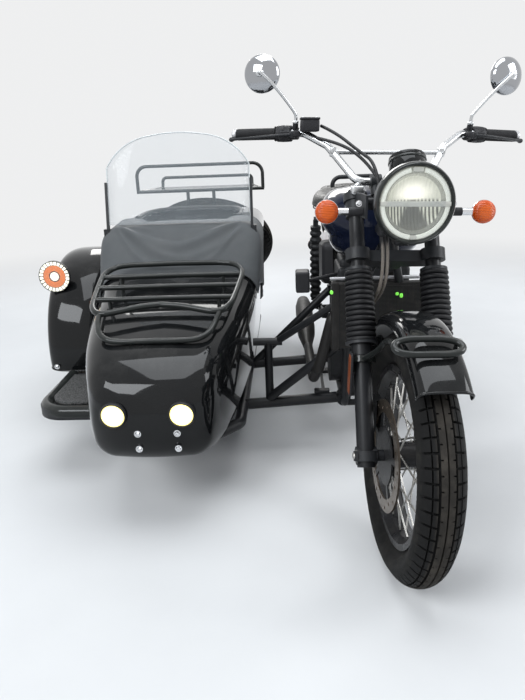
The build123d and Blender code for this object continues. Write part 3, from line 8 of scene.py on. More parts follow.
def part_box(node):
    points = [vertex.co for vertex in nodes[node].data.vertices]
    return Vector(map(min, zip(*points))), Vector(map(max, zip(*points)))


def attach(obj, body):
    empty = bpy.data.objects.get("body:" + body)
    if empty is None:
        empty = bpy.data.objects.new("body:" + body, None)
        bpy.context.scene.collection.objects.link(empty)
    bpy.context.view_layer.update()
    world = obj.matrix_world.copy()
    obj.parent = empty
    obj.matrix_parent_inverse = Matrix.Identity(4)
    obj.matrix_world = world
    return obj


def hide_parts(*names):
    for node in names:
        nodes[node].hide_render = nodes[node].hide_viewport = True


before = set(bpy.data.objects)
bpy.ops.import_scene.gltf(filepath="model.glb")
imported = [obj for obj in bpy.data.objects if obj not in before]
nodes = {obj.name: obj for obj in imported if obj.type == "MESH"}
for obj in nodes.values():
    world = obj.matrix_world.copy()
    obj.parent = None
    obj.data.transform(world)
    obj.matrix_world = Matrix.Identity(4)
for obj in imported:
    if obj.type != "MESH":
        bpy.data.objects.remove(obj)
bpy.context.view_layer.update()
scene = bpy.context.scene

# The part is drawn about the motorcycle's centre plane and front axle, in mm, then moved as one
rearTyreLow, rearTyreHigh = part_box("rear_tyre")
rake, forkOffset, wheelR, parkedSteer, wheelBase = math.radians(27), 60.0, 330.0, math.radians(5), 1570.0
shift = np.array((rearTyreLow + rearTyreHigh) / 2) * 1000 - np.array([0.0, wheelBase, wheelR])
steerFoot = np.array([0.0, forkOffset * math.cos(rake), wheelR - forkOffset * math.sin(rake)])
steerUp = np.array([0.0, math.sin(rake), math.cos(rake)])
hullX, sidecarX, sidecarY = -700.0, -1175.0, 1240.0


# Shapes

def placed(points, steered=False):
    # part coordinates in mm to metres in the shared frame; steered points first turn about the raked head axis
    p = np.asarray(points, float)
    if steered:
        q, k = p - steerFoot, steerUp
        c, s = math.cos(parkedSteer), math.sin(parkedSteer)
        p = steerFoot + q * c + np.cross(k, q) * s + k * (q @ k)[..., None] * (1 - c)
    return (p + shift) / 1000


def inFork(points):
    # fork coordinates (left, back, up the steering axis) to part coordinates
    p = np.asarray(points, float)
    back = np.array([0.0, math.cos(rake), -math.sin(rake)])
    return steerFoot + p[..., :1] * np.array([1.0, 0, 0]) + p[..., 1:2] * back + p[..., 2:] * steerUp


def gridFaces(nu, nv, closeU, closeV):
    # quads between neighbouring rows and columns of a grid, wrapped round where it closes
    u = np.arange(nu if closeU else nu - 1)[:, None]
    v = np.arange(nv if closeV else nv - 1)[None, :]
    u2, v2 = (u + 1) % nu, (v + 1) % nv
    quads = np.stack(np.broadcast_arrays(u * nv + v, u2 * nv + v, u2 * nv + v2, u * nv + v2), -1)
    return quads.reshape(-1, 4)


def meshPiece(name, parts, finish, body="chassis", sharp=35, replaces=None, closed=True):
    # one object from several grids; each is (points, closeU, closeV), welded at its seams and poles
    points, faces, start = [], [], 0
    for grid, closeU, closeV in parts:
        nu, nv = grid.shape[:2]
        points.append(grid.reshape(-1, 3))
        faces.append(gridFaces(nu, nv, closeU, closeV) + start)
        start += nu * nv
    mesh = bpy.data.meshes.new(name)
    points = placed(np.concatenate(points), body in ("steering", "front_wheel"))
    mesh.from_pydata(points.tolist(), [], np.concatenate(faces).tolist())
    bm = bmesh.new()
    bm.from_mesh(mesh)
    bmesh.ops.remove_doubles(bm, verts=bm.verts, dist=2e-6)
    if closed:
        bmesh.ops.recalc_face_normals(bm, faces=bm.faces)
    smoothed(bm, mesh, sharp)
    piece = bpy.data.objects.new(name, mesh)
    scene.collection.objects.link(piece)
    mesh.materials.append(finishes[finish] if isinstance(finish, str) else finish)
    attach(piece, body)
    if replaces:
        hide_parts(replaces)
    return piece


def smoothed(bm, mesh, sharp):
    # puts the edited mesh back, shaded smooth but for edges sharper than the angle
    bm.to_mesh(mesh)
    bm.free()
    mesh.shade_smooth()
    mesh.set_sharp_from_angle(angle=math.radians(sharp))


def thicken(piece, thickness, offset=0):
    wall = piece.modifiers.new("thickness", "SOLIDIFY")
    wall.thickness, wall.offset = thickness, offset
    return wall


def capped(grid):
    # closes both ends of a tube-like grid with a pole at the middle of its first and last ring
    first, last = grid[0].mean(0), grid[-1].mean(0)
    ring = np.ones(grid.shape[1])[:, None]
    return np.concatenate([(ring * first)[None], grid, (ring * last)[None]])


def lathe(profile, origin, axis, side, count=64, sweep=None):
    # a profile of (distance along the axis, radius) carried round the axis
    profile = np.asarray(profile, float)
    axis = np.asarray(axis, float) / np.linalg.norm(axis)
    side = np.asarray(side, float) - axis * np.dot(side, axis)
    side /= np.linalg.norm(side)
    other = np.cross(axis, side)
    low, high = (0, 2 * math.pi) if sweep is None else sweep
    t = np.linspace(low, high, count, endpoint=sweep is not None)[:, None, None]
    ring = np.cos(t) * side + np.sin(t) * other
    return np.asarray(origin, float) + profile[None, :, :1] * axis + profile[None, :, 1:] * ring


def turned(at, axis, *profiles, side=(0, 0, 1), count=64):
    # the parts that profiles make; one that is closed ends on its first point
    return [(lathe(profile, at, axis, side, count), True, False) for profile in profiles]


def curveThrough(points, count):
    # Catmull-Rom line through the points, spaced by their chord lengths
    p = np.asarray(points, float)
    p = np.concatenate([2 * p[:1] - p[1:2], p, 2 * p[-1:] - p[-2:-1]])
    t = np.linspace(0, len(p) - 3 - 1e-9, count)
    i = t.astype(int)
    f = (t - i)[:, None]
    a, b, c, d = p[i], p[i + 1], p[i + 2], p[i + 3]
    return 0.5 * (2 * b + (c - a) * f + (2 * a - 5 * b + 4 * c - d) * f ** 2 + (3 * b - a - 3 * c + d) * f ** 3)


def mirrored(half):
    # a loop from its left half, whose first and last points are on the middle plane
    return np.concatenate([half, half[-2:0:-1] * (-1, 1, 1)])


def tube(path, radius, count=14, flat=1.0, caps=True):
    # a round profile carried along a path; its sides turn with the path as little as they can
    path = np.asarray(path, float)
    along = np.gradient(path, axis=0)
    along /= np.linalg.norm(along, axis=1)[:, None]
    side = np.zeros_like(path)
    first = np.cross(along[0], [0.31, 0.2, 0.93])
    side[0] = first / np.linalg.norm(first)
    for k in range(1, len(path)):
        s = side[k - 1] - along[k] * np.dot(side[k - 1], along[k])
        side[k] = s / np.linalg.norm(s)
    other = np.cross(along, side)
    t = np.linspace(0, 2 * math.pi, count, endpoint=False)[None, :, None]
    r = np.broadcast_to(np.asarray(radius, float), (len(path),))[:, None, None]
    grid = path[:, None] + r * (np.cos(t) * side[:, None] + flat * np.sin(t) * other[:, None])
    return (capped(grid) if caps else grid), False, True


def eased(table, y):
    # every column of a table, read at y along smooth curves that never overshoot its rows
    t = np.asarray(table, float)
    x, cols = t[:, 0], t[:, 1:]
    h = np.diff(x)[:, None]
    d = np.diff(cols, axis=0) / h
    m = np.zeros_like(cols)
    same = d[:-1] * d[1:] > 0
    w1, w2 = 2 * h[1:] + h[:-1], h[1:] + 2 * h[:-1]
    with np.errstate(divide="ignore", invalid="ignore"):
        m[1:-1] = np.where(same, (w1 + w2) / (w1 / d[:-1] + w2 / d[1:]), 0)
    m[0], m[-1] = d[0], d[-1]
    k = np.clip(np.searchsorted(x, y) - 1, 0, len(x) - 2)
    s = ((y - x[k]) / np.diff(x)[k])[:, None]
    hk = h[k]
    return ((2 * s ** 3 - 3 * s ** 2 + 1) * cols[k] + (s ** 3 - 2 * s ** 2 + s) * hk * m[k]
            + (3 * s ** 2 - 2 * s ** 3) * cols[k + 1] + (s ** 3 - s ** 2) * hk * m[k + 1])


def share(v):
    return np.clip(v, 0, 1)


def squared(v, n):
    # one coordinate of a superellipse, from the sine or cosine of its angle
    return np.sign(v) * np.abs(v) ** (2 / n)


def pebble(centre, half, square=6.0):
    # a block with rounded edges: |x/a|^n + |y/b|^n + |z/c|^n is near 1 all over it
    u = np.linspace(0, 2 * math.pi, 28, endpoint=False)[:, None]
    v = np.linspace(-math.pi / 2, math.pi / 2, 13)[None]
    waist = squared(np.cos(v), square)
    x, y, z = squared(np.cos(u), square) * waist, squared(np.sin(u), square) * waist, squared(np.sin(v), square)
    return np.stack(np.broadcast_arrays(x, y, z), -1) * np.array(half, float) + np.array(centre, float), True, False


def bolt(at, axis, r=6.0, high=4.5):
    # a button-headed bolt with a round key hole, on a washer
    side = (0.0, 0.1, 1.0) if abs(axis[2]) < 0.9 else (1.0, 0.0, 0.0)
    profile = [(-2, 0), (-2, r * 1.35), (0.8, r * 1.35), (0.8, r), (high * 0.5, r), (high, r * 0.72),
               (high, r * 0.42), (high * 0.45, r * 0.4), (high * 0.45, 0)]
    return lathe(profile, at, axis, side, 20), True, False


forward, backwards, evenEdge = (0, -1, 0), (0, 1, 0), np.linspace(0, 1, 11)[1:-1]


def roundedSection(halfLow, halfHigh, low, high, radius, crown=0.0, corner=9, edge=evenEdge):
    # four-sided outlines with rounded corners, one a row: quarter arcs joined by sides bowed out by crown;
    # it starts at the foot of the left side, and goes up it, over the top, down the right side and back underneath
    halfLow, halfHigh, low, high, radius = [np.asarray(v, float)[:, None]
                                            for v in (halfLow, halfHigh, low, high, radius)]
    corners = [(halfLow, low, -90), (halfHigh, high, 0), (-halfHigh, high, 90), (-halfLow, low, 180)]
    xs, zs = [], []
    for k, (cx, cz, start) in enumerate(corners):
        t = np.radians(start + np.linspace(0, 90, corner))[None]
        ix, iz = cx - np.sign(cx) * radius, cz + (radius if k in (0, 3) else -radius)
        xs.append(ix + radius * np.cos(t))
        zs.append(iz + radius * np.sin(t))
    outX, outZ = [], []
    for k in range(4):
        outX.append(xs[k]), outZ.append(zs[k])
        n = (k + 1) % 4
        f = np.asarray(edge)[None]
        bow = crown * 4 * f * (1 - f)
        ex = xs[k][:, -1:] * (1 - f) + xs[n][:, :1] * f
        ez = zs[k][:, -1:] * (1 - f) + zs[n][:, :1] * f
        outX.append(ex + bow * (1, 0, -1, 0)[k]), outZ.append(ez + bow * (0, 1, 0, -1)[k])
    return np.concatenate(outX, 1), np.concatenate(outZ, 1)


def loftGrid(centreX, table, rows, crown=0.0, corner=9, edge=evenEdge):
    # rounded outlines one behind the other, every size eased along y
    c = eased(table, rows)
    x, z = roundedSection(*c.T[:5], crown, corner, edge)
    y = np.broadcast_to(rows[:, None], x.shape)
    return np.stack([centreX + x, y, z], -1)


# Materials

class Val:
    # a number that varies over the surface; arithmetic on it adds Math nodes
    def __init__(self, graph, socket):
        self.graph, self.socket = graph, socket

    def math(self, operation, a, b=0.0):
        return self.graph.add("ShaderNodeMath", {"operation": operation}, {0: a, 1: b})

    def __add__(self, other): return self.math("ADD", self, other)
    def __radd__(self, other): return self.math("ADD", other, self)
    def __sub__(self, other): return self.math("SUBTRACT", self, other)
    def __rsub__(self, other): return self.math("SUBTRACT", other, self)
    def __mul__(self, other): return self.math("MULTIPLY", self, other)
    def __rmul__(self, other): return self.math("MULTIPLY", other, self)
    def __pow__(self, other): return self.math("POWER", self, other)
    def __gt__(self, other): return self.math("GREATER_THAN", self, other)
    def __lt__(self, other): return self.math("LESS_THAN", self, other)
    def sine(self): return self.math("SINE", self)
    def size(self): return self.math("ABSOLUTE", self)


class Finish:
    # a material, or the world, and its nodes
    def __init__(self, name, world=None):
        self.material = world or bpy.data.materials.new(name)
        self.material.use_nodes = True
        self.tree = self.material.node_tree
        self.tree.nodes.clear()
        self.coords = self.add("ShaderNodeTexCoord", output="Object")

    def add(self, kind, settings=None, sockets=None, output=0):
        node = self.tree.nodes.new(kind)
        for key, value in (settings or {}).items():
            setattr(node, key, value)
        for key, value in (sockets or {}).items():
            if isinstance(value, Val):
                self.tree.links.new(value.socket, node.inputs[key])
            else:
                node.inputs[key].default_value = value
        return Val(self, node.outputs[output])

    def noise(self, scale, detail=3.0, rough=0.55, at=None, distort=0.0):
        return self.add("ShaderNodeTexNoise", None, {"Vector": at or self.coords, "Scale": scale, "Detail": detail,
                                                     "Roughness": rough, "Distortion": distort})

    def cells(self, scale):
        return self.add("ShaderNodeTexVoronoi", None, {"Vector": self.coords, "Scale": scale}, "Distance")

    def fade(self, value, low, high):
        return self.add("ShaderNodeMapRange", {"interpolation_type": "SMOOTHSTEP"}, {0: value, 1: low, 2: high})

    def split(self, vector, axis):
        return self.add("ShaderNodeSeparateXYZ", None, {0: vector}, axis)

    def xyz(self):
        return [self.split(self.coords, axis) for axis in range(3)]

    def awayFrom(self, centre):
        return self.add("ShaderNodeVectorMath", {"operation": "SUBTRACT"}, {0: self.coords, 1: tuple(centre)})

    def length(self, vector):
        return self.add("ShaderNodeVectorMath", {"operation": "LENGTH"}, {0: vector}, "Value")

    def blend(self, factor, a, b):
        a, b = [v if isinstance(v, Val) else (*v, 1.0) for v in (a, b)]
        return self.add("ShaderNodeMix", {"data_type": "RGBA"}, {0: factor, 6: a, 7: b}, 2)

    def bump(self, height, distance, strength=1.0, under=None):
        sockets = {"Height": height, "Distance": distance, "Strength": strength}
        if under:
            sockets["Normal"] = under
        return self.add("ShaderNodeBump", None, sockets)

    def surface(self, colour, roughness=0.5, normal=None, **fixed):
        names = {"metallic": "Metallic", "coat": "Coat Weight", "coatRoughness": "Coat Roughness", "ior": "IOR",
                 "specular": "Specular IOR Level", "alpha": "Alpha", "glow": "Emission Color",
                 "glowStrength": "Emission Strength", "sheen": "Sheen Weight", "sheenRoughness": "Sheen Roughness",
                 "transmission": "Transmission Weight", "coatIor": "Coat IOR"}
        sockets = {"Base Color": colour if isinstance(colour, Val) else (*colour, 1.0), "Roughness": roughness}
        if normal:
            sockets["Normal"] = normal
        for key, value in fixed.items():
            sockets[names[key]] = (*value, 1.0) if isinstance(value, tuple) else value
        return self.shown(self.add("ShaderNodeBsdfPrincipled", None, sockets))

    def shown(self, shader, kind="Material"):
        out = self.tree.nodes.new("ShaderNodeOutput" + kind)
        self.tree.links.new(shader.socket, out.inputs["Surface"])
        return self.material


def times(colour, factor, plus=0.0):
    return tuple(c * factor + plus for c in colour)


def paint(name, colour, dusty=0.05, roughness=0.11):
    # lacquer: faint cloudiness, dust settled on faces that look up, orange peel in the clear coat
    f = Finish(name)
    up = f.split(f.add("ShaderNodeNewGeometry", None, None, "Normal"), 2)
    dust = f.fade(up, 0.2, 1.0) * f.fade(f.noise(9, 5, 0.65), 0.42, 0.75) * dusty
    cloud = f.noise(3.5, 2)
    base = f.blend(cloud, times(colour, 0.8), times(colour, 1.25, 0.001))
    base = f.blend(dust, base, (0.30, 0.29, 0.27))
    peel = f.bump(f.noise(260, 1), 0.00004, 0.6)
    rough = f.noise(22, 4, 0.7) * 0.06 + (roughness - 0.03) + dust * 0.5
    return f.surface(base, rough, peel, coat=1.0, coatRoughness=0.03, coatIor=1.31, specular=0.05)


def powderCoat(name, colour, roughness=0.42, metallic=0.0, grain=900, depth=0.00012):
    # baked powder on steel: fine pimples, worn a little paler in patches
    f = Finish(name)
    wear = f.fade(f.noise(14, 6, 0.7), 0.58, 0.78)
    cloud = f.noise(30, 3)
    base = f.blend(cloud, times(colour, 0.75), times(colour, 1.3, 0.002))
    base = f.blend(wear * 0.25, base, tuple(min(c, 1) for c in times(colour, 2.4, 0.03)))
    bumps = f.bump(f.noise(grain, 2), depth, 0.7)
    return f.surface(base, f.noise(40, 4) * 0.2 + (roughness - 0.1) + wear * 0.08, bumps, metallic=metallic,
                     specular=0.26)


def plated(name, colour=(0.78, 0.79, 0.81), roughness=0.07, smear=0.14):
    # chrome: bright metal with finger smears that only change its roughness
    f = Finish(name)
    smears = f.fade(f.noise(12, 6, 0.7, distort=0.6), 0.5, 0.8)
    tone = f.blend(f.noise(5, 2), colour, times(colour, 0.86))
    return f.surface(tone, smears * smear + roughness, f.bump(f.noise(340, 1), 0.00003, 0.4), metallic=1.0)


def castMetal(name, colour, roughness=0.45, grain=420, depth=0.0003, metallic=0.85):
    # cast or machined metal: fine pits, stains in its hollows
    f = Finish(name)
    stain = f.fade(f.noise(18, 6, 0.65), 0.45, 0.8)
    base = f.blend(stain, colour, times(colour, 0.62))
    pits = f.bump(f.noise(grain, 4, 0.7), depth, 0.8)
    return f.surface(base, f.noise(60, 4) * 0.25 + (roughness - 0.1) + stain * 0.1, pits, metallic=metallic,
                     specular=0.3)


def rubber(name, colour=(0.018, 0.018, 0.019), roughness=0.62, depth=0.0002):
    # moulded rubber: slightly greyed in patches, with a soft fine grain
    f = Finish(name)
    grey = f.fade(f.noise(20, 5, 0.7), 0.4, 0.85)
    base = f.blend(grey * 0.6, colour, times(colour, 1, 0.018))
    return f.surface(base, f.noise(55, 3) * 0.2 + (roughness - 0.1), f.bump(f.noise(700, 2), depth, 0.6),
                     specular=0.22)


def moulded(name, colour, roughness=0.5):
    # grained plastic: small shallow cells over a faint cloud
    f = Finish(name)
    base = f.blend(f.noise(25, 4), times(colour, 0.8), times(colour, 1.25, 0.002))
    grain = f.bump(f.cells(850) + f.noise(420, 2) * 0.4, 0.00016, 0.6)
    return f.surface(base, f.noise(35, 3) * 0.18 + (roughness - 0.09), grain, specular=0.26)


def leather(name, colour, roughness=0.46):
    # seat vinyl: pebbled cells, creases, rubbed patches that shine
    f = Finish(name)
    rubbed = f.fade(f.noise(11, 4, 0.6), 0.45, 0.75)
    base = f.blend(rubbed * 0.5, colour, times(colour, 1.7, 0.006))
    grain = f.cells(520) + f.noise(260, 3) * 0.5
    return f.surface(base, f.noise(40, 3) * 0.2 + (roughness - 0.08) - rubbed * 0.07,
                     f.bump(grain, 0.00035, 0.7, f.bump(f.noise(60, 4), 0.0006, 0.4)), sheen=0.08,
                     sheenRoughness=0.4, specular=0.28)


def coatedCloth(name, colour):
    # proofed cloth: two fine crossed threads under a matt coat, with rubbed and dusty patches
    f = Finish(name)
    x, y, z = f.xyz()
    warp, weft = (x * 3600).sine(), ((y + z) * 3600).sine()
    dust = f.fade(f.noise(6, 5, 0.65), 0.4, 0.78)
    base = f.blend(f.noise(4, 3), times(colour, 0.86), times(colour, 1.12))
    base = f.blend(dust * 0.22, base, (0.16, 0.16, 0.155))
    crease = f.bump(f.noise(26, 4, 0.6), 0.0012, 0.35)
    return f.surface(base, f.noise(30, 3) * 0.15 + 0.58, f.bump(warp * weft, 0.00012, 0.5, crease),
                     sheen=0.12, sheenRoughness=0.5, specular=0.2)


def glow(name, colour, strength, rough=0.3):
    # a face that glows, a little uneven: lit lamp faces, and the three small green spots in front of the radiator
    f = Finish(name)
    base = f.blend(f.noise(90, 2), colour, times(colour, 0.88))
    return f.surface(base, f.noise(120, 2) * 0.1 + rough, f.bump(f.noise(500, 1), 0.0001, 0.4), glow=base,
                     glowStrength=strength)


def clear(name, tint, alpha, roughness=0.04):
    # clear sheet: mostly see-through, with wiped streaks and more gloss at grazing angles
    f = Finish(name)
    edge = f.add("ShaderNodeLayerWeight", None, {"Blend": 0.28}, "Facing")
    streak = f.fade(f.noise(7, 5, 0.6, f.add("ShaderNodeMapping", None, {"Vector": f.coords, "Scale": (1, 1, 0.25)})),
                    0.45, 0.8)
    see = edge * 0.45 + streak * 0.05 + alpha
    return f.surface(f.blend(streak, tint, times(tint, 1.1)), streak * 0.08 + roughness,
                     f.bump(f.noise(30, 2), 0.0002, 0.3), alpha=see, specular=0.5)


def hoseSleeve(name):
    # black cover from the bar down to the lower yoke, braided steel under clear plastic below it
    f = Finish(name)
    x, y, z = f.xyz()
    braid = (z * 2600).sine() * (x * 2100).sine()
    upper = f.fade(z, 0.845, 0.865)
    tone = f.blend(f.fade(braid, -0.6, 0.8), (0.10, 0.085, 0.07), (0.26, 0.23, 0.20))
    return f.surface(f.blend(upper, tone, (0.010, 0.010, 0.011)), f.noise(200, 2) * 0.12 + 0.34,
                     f.bump(braid, 0.0002, 0.5), specular=0.3)


def radiatorCore(name):
    # fine level fins between flat upright tubes, dusty; painted shade makes the gaps between the fins near black and
    # the fins dark grey
    f = Finish(name)
    x, y, z = f.xyz()
    fins = f.fade((z * 1570).sine(), -0.7, 0.7)
    tubes = f.fade((x * 570).sine(), 0.55, 0.85)
    # painted shade: nearly black in the gaps between the fins, dark grey on the fins
    between = f.blend(fins, (0.004, 0.004, 0.004), (0.035, 0.034, 0.032))
    base = f.blend(tubes, between, (0.020, 0.020, 0.021))
    base = f.blend(f.fade(f.noise(25, 4), 0.5, 0.8) * 0.25, base, (0.09, 0.08, 0.065))
    return f.surface(base, f.noise(90, 2) * 0.15 + 0.45, f.bump(fins * (tubes * -1 + 1), 0.0006, 0.8),
                     metallic=0.3, specular=0.2)


# a name that the frame's own materials hold already gets a number behind a dot, which is dropped here
finishes = {finish.name.split(".")[0]: finish for finish in [
    paint("glossBlack", (0.006, 0.0065, 0.007)),
    paint("tankNavy", (0.006, 0.009, 0.022), 0.03),
    powderCoat("satinBlack", (0.02, 0.021, 0.023)),
    paint("smoothBlack", (0.016, 0.018, 0.017), 0.12, 0.3),
    powderCoat("frameBlack", (0.012, 0.0125, 0.014), 0.36),
    plated("chrome"),
    plated("barChrome", (0.60, 0.61, 0.62), 0.26, 0.2),
    rubber("rubberBlack"),
    rubber("gaiterRubber", (0.009, 0.009, 0.010), 0.46),
    moulded("plasticBlack", (0.018, 0.018, 0.02)),
    castMetal("engineBlack", (0.035, 0.036, 0.038), 0.5, metallic=0.35),
    castMetal("castAlloy", (0.42, 0.42, 0.43), 0.42),
    castMetal("bareSteel", (0.5, 0.49, 0.47), 0.32, 600, 0.0001, 1.0),
    powderCoat("exhaustBlack", (0.02, 0.019, 0.018), 0.5, 0.2),
    leather("seatVinyl", (0.02, 0.019, 0.018)),
    coatedCloth("coverCloth", (0.078, 0.083, 0.086)),
    powderCoat("plateWhite", (0.75, 0.75, 0.74), 0.35),
    clear("screenClear", (0.50, 0.55, 0.58), 0.13),
    clear("lensClear", (0.8, 0.85, 0.85), 0.12),
    glow("ringWhite", (0.66, 0.67, 0.60), 0.42),
    glow("segmentWhite", (1.0, 0.97, 0.80), 0.95),
    glow("amberRing", (0.66, 0.15, 0.001), 0.50),
    moulded("reflectorAmber", (0.20, 0.050, 0.018), 0.3),
    plated("mirrorGrey", (0.42, 0.43, 0.45), 0.06),
    castMetal("lampGrey", (0.55, 0.55, 0.50), 0.4, metallic=0.4),
    hoseSleeve("hoseSleeve"),
    # pale grey of the windscreen's edge tube: a painted highlight
    moulded("screenEdgeHighlight", (0.55, 0.58, 0.58), 0.25),
    radiatorCore("radiatorCore"),
    moulded("rearAmber", (0.62, 0.12, 0.012), 0.25),
    glow("redLens", (0.45, 0.01, 0.01), 0.15),
    # small spots that glow green, in front of the radiator
    glow("greenSpotGlow", (0.20, 0.75, 0.08), 0.7),
]}
print("finishes made:", len(finishes))


def fromAxle(f, centre, axle):
    # distance out from a wheel's axle, in metres
    d = f.awayFrom(centre)
    along = f.add("ShaderNodeVectorMath", {"operation": "DOT_PRODUCT"}, {0: d, 1: tuple(axle)}, "Value")
    length = f.length(d)
    return (length * length - along * along) ** 0.5


def wheelFinish(name, centre, axle):
    # laced wheel: black rim, bright spokes, black hub with bright flanges, road dust over all of it
    f = Finish(name)
    r = fromAxle(f, centre, axle)
    spoke = (r > 0.0535) * (r < 0.2075)
    flange = (r > 0.036) * (r < 0.0535)
    steel = f.blend(f.noise(40, 3), (0.62, 0.61, 0.58), (0.38, 0.37, 0.35))
    black = f.blend(f.noise(30, 3), (0.010, 0.010, 0.011), (0.022, 0.022, 0.024))
    dust = f.fade(f.noise(16, 5, 0.65), 0.45, 0.8) * 0.16
    base = f.blend(spoke, black, steel)
    base = f.blend(flange, base, (0.07, 0.07, 0.07))
    base = f.blend(dust, base, (0.16, 0.145, 0.12))
    return f.surface(base, f.noise(50, 3) * 0.15 + 0.2 + dust, f.bump(f.noise(500, 2), 0.0001, 0.5),
                     metallic=(spoke + flange) * 0.9, specular=0.25)


def tyreFinish(name, centre, axle):
    # tyre: dark grooves and sides, tread lightly scuffed and greyed by stone dust, fine mould rings on the sides
    f = Finish(name)
    r = fromAxle(f, centre, axle)
    tread = f.fade(r, 0.3225, 0.3275)
    rings = (r * 2200).sine() * ((r > 0.252) * (r < 0.262) + (r > 0.288) * (r < 0.298))
    dust = f.fade(f.noise(22, 6, 0.7), 0.38, 0.8)
    base = f.blend(f.noise(60, 3), (0.007, 0.007, 0.0072), (0.012, 0.0118, 0.0115))
    base = f.blend(tread * (dust * 0.6 + 0.28), base, (0.068, 0.060, 0.050))
    base = f.blend(dust * 0.14 * (r < 0.30), base, (0.12, 0.11, 0.09))
    rough = f.noise(80, 3) * 0.15 + 0.6 + tread * 0.12
    return f.surface(base, rough, f.bump(rings * 0.5 + f.noise(650, 3), 0.0003, 0.7), specular=0.12)


def discFinish(name, centre, axle):
    # brake disc: fine turned rings on the braking band, dark coated carrier inside it
    f = Finish(name)
    r = fromAxle(f, centre, axle)
    band = r > 0.112
    rings = (r * 9000).sine()
    steel = f.blend(f.noise(30, 4), (0.24, 0.205, 0.17), (0.12, 0.095, 0.075))
    base = f.blend(band, f.blend(f.noise(30, 3), (0.014, 0.014, 0.015), (0.03, 0.03, 0.03)), steel)
    return f.surface(base, f.noise(60, 3) * 0.15 + 0.26, f.bump(rings + f.noise(400, 2), 0.00006, 0.5),
                     metallic=band * 0.85, specular=0.12)


# Wheels: where each one's centre is, its axle, and the body it turns with
wheelAxle = placed(np.array([[1.0, 0, wheelR], [0.0, 0, wheelR]]), True)
steeredAxle = (wheelAxle[0] - wheelAxle[1]) / np.linalg.norm(wheelAxle[0] - wheelAxle[1])
(tailTopY, tailTopZ), (tailFootY, tailFootZ), spareDown, spareOff = (1500, 846), (1985, 372), 352, 66
tailSlope = math.atan2(tailTopZ - tailFootZ, tailFootY - tailTopY)
tailNormal = np.array([0.0, math.sin(tailSlope), math.cos(tailSlope)])
spareCentre = np.array([hullX, tailTopY + spareDown * math.cos(tailSlope),
                        tailTopZ - spareDown * math.sin(tailSlope)]) + tailNormal * spareOff
wheels = [
    # node prefix, centre in the part's frame, axle there, steered, axle in the shared frame, body
    ("front", np.array([0.0, 0, wheelR]), (1, 0, 0), True, steeredAxle, "front_wheel"),
    ("rear", np.array([0.0, wheelBase, wheelR]), (1, 0, 0), False, (1, 0, 0), "rear_wheel"),
    ("sidecar", np.array([sidecarX, sidecarY, wheelR]), (1, 0, 0), False, (1, 0, 0), "sidecar_wheel"),
    ("spare", spareCentre, tuple(tailNormal), False, tuple(tailNormal), "boot_lid"),
]

treadPattern = {
    "pitches": 62,
    "crownR": 53.7, "crownHigh": 276.3,      # the crown's arc in the tyre's cross-section
    "grooves": [(0.0, 1.5, 7.0), (16.4, 20.9, 8.0), (32.4, 35.4, 7.0)],   # from, to, depth, along the crown
    "slot": (2.8, 8.0), "slotFrom": 21.4,    # half width and depth of the slots between the blocks
    "sipe": (14.3, 17.1, 6.5), "sipeOver": (10.4, 16.5),
    "rows": [0, 2.8, 3.3, 13.8, 14.3, 17.1, 17.6, 30.1, 30.6],
    "flank": ((46, 304), (28, 244)), "bulge": 17, "mouldRing": 0.7, "bead": (28, 229),     # (off centre, radius)
}


def tyreGrid(t):
    # the cross profile (bead, flank arc, crown arc) repeated round the wheel; along the crown, points inside a
    # groove, slot or sipe move towards the arc's centre by its depth
    half = [0, 1.5, 2.0, 7, 9.9, 10.4, 15.9, 16.4, 20.9, 21.4, 27, 31.9, 32.4, 35.4, 35.9, 42, 48, 52, 55]
    s = np.array([-v for v in half[:0:-1]] + half)
    phi = s / t["crownR"]
    pitch = 2 * math.pi * wheelR / t["pitches"]
    turn = (np.arange(t["pitches"])[:, None] * pitch + np.array(t["rows"])[None]).ravel()
    within = np.tile(np.array(t["rows"], float), t["pitches"])[:, None]
    a = np.abs(s)[None]
    depth = np.zeros((len(turn), len(s)))
    for low, high, deep in t["grooves"]:
        depth = np.maximum(depth, deep * ((a >= low) & (a <= high)))
    halfSlot, deep = t["slot"]
    fromEdge = np.minimum(within, pitch - within)
    fading = share((57 - a) / 6)
    depth = np.maximum(depth, deep * fading * ((fromEdge <= halfSlot) & (a >= t["slotFrom"] - 0.3)))
    low, high, deep = t["sipe"]
    over = t["sipeOver"]
    inSipe = (within >= low) & (within <= high)
    depth = np.maximum(depth, deep * (inSipe & (a >= over[0]) & (a <= over[1])))
    r = t["crownHigh"] + (t["crownR"] - depth) * np.cos(phi)[None]
    x = (t["crownR"] - depth) * np.sin(phi)[None]
    down = np.linspace(0, 1, 8)[1:]
    (topX, topR), (footX, footR) = t["flank"]
    bulge = 4 * down * (1 - down) * t["bulge"] + t["mouldRing"] * ((np.arange(7) % 3) == 1)
    sideX = np.append(topX * (1 - down) + footX * down + bulge * 0.96, t["bead"][0])
    sideR = np.append(topR * (1 - down) + footR * down + bulge * 0.1, t["bead"][1])
    ones = np.ones((len(turn), 1))
    x = np.concatenate([-sideX[::-1] * ones, x, sideX * ones], 1)
    r = np.concatenate([sideR[::-1] * ones, r, sideR * ones], 1)
    return x, r, turn / wheelR


tyreX, tyreR, tyreTurn = tyreGrid(treadPattern)
for prefix, centre, axle, steered, sharedAxle, body in wheels:
    axle = np.array(axle, float)
    side = np.array([0.0, 1, 0]) - axle * axle[1]
    side /= np.linalg.norm(side)
    other = np.cross(axle, side)
    cosT, sinT = np.cos(tyreTurn)[:, None, None], np.sin(tyreTurn)[:, None, None]
    points = centre + tyreX[..., None] * axle + tyreR[..., None] * (cosT * side + sinT * other)
    shared = placed(centre, steered)
    meshPiece(prefix + "TyreTread", [(points, True, True)], tyreFinish(prefix + "Tyre", shared, sharedAxle), body, 28,
              prefix + "_tyre")
    finishes[prefix + "_rim"] = wheelFinish(prefix + "Wheel", shared, sharedAxle)
    finishes[prefix + "_disc"] = discFinish(prefix + "Disc", shared, sharedAxle)
print("tyres done")

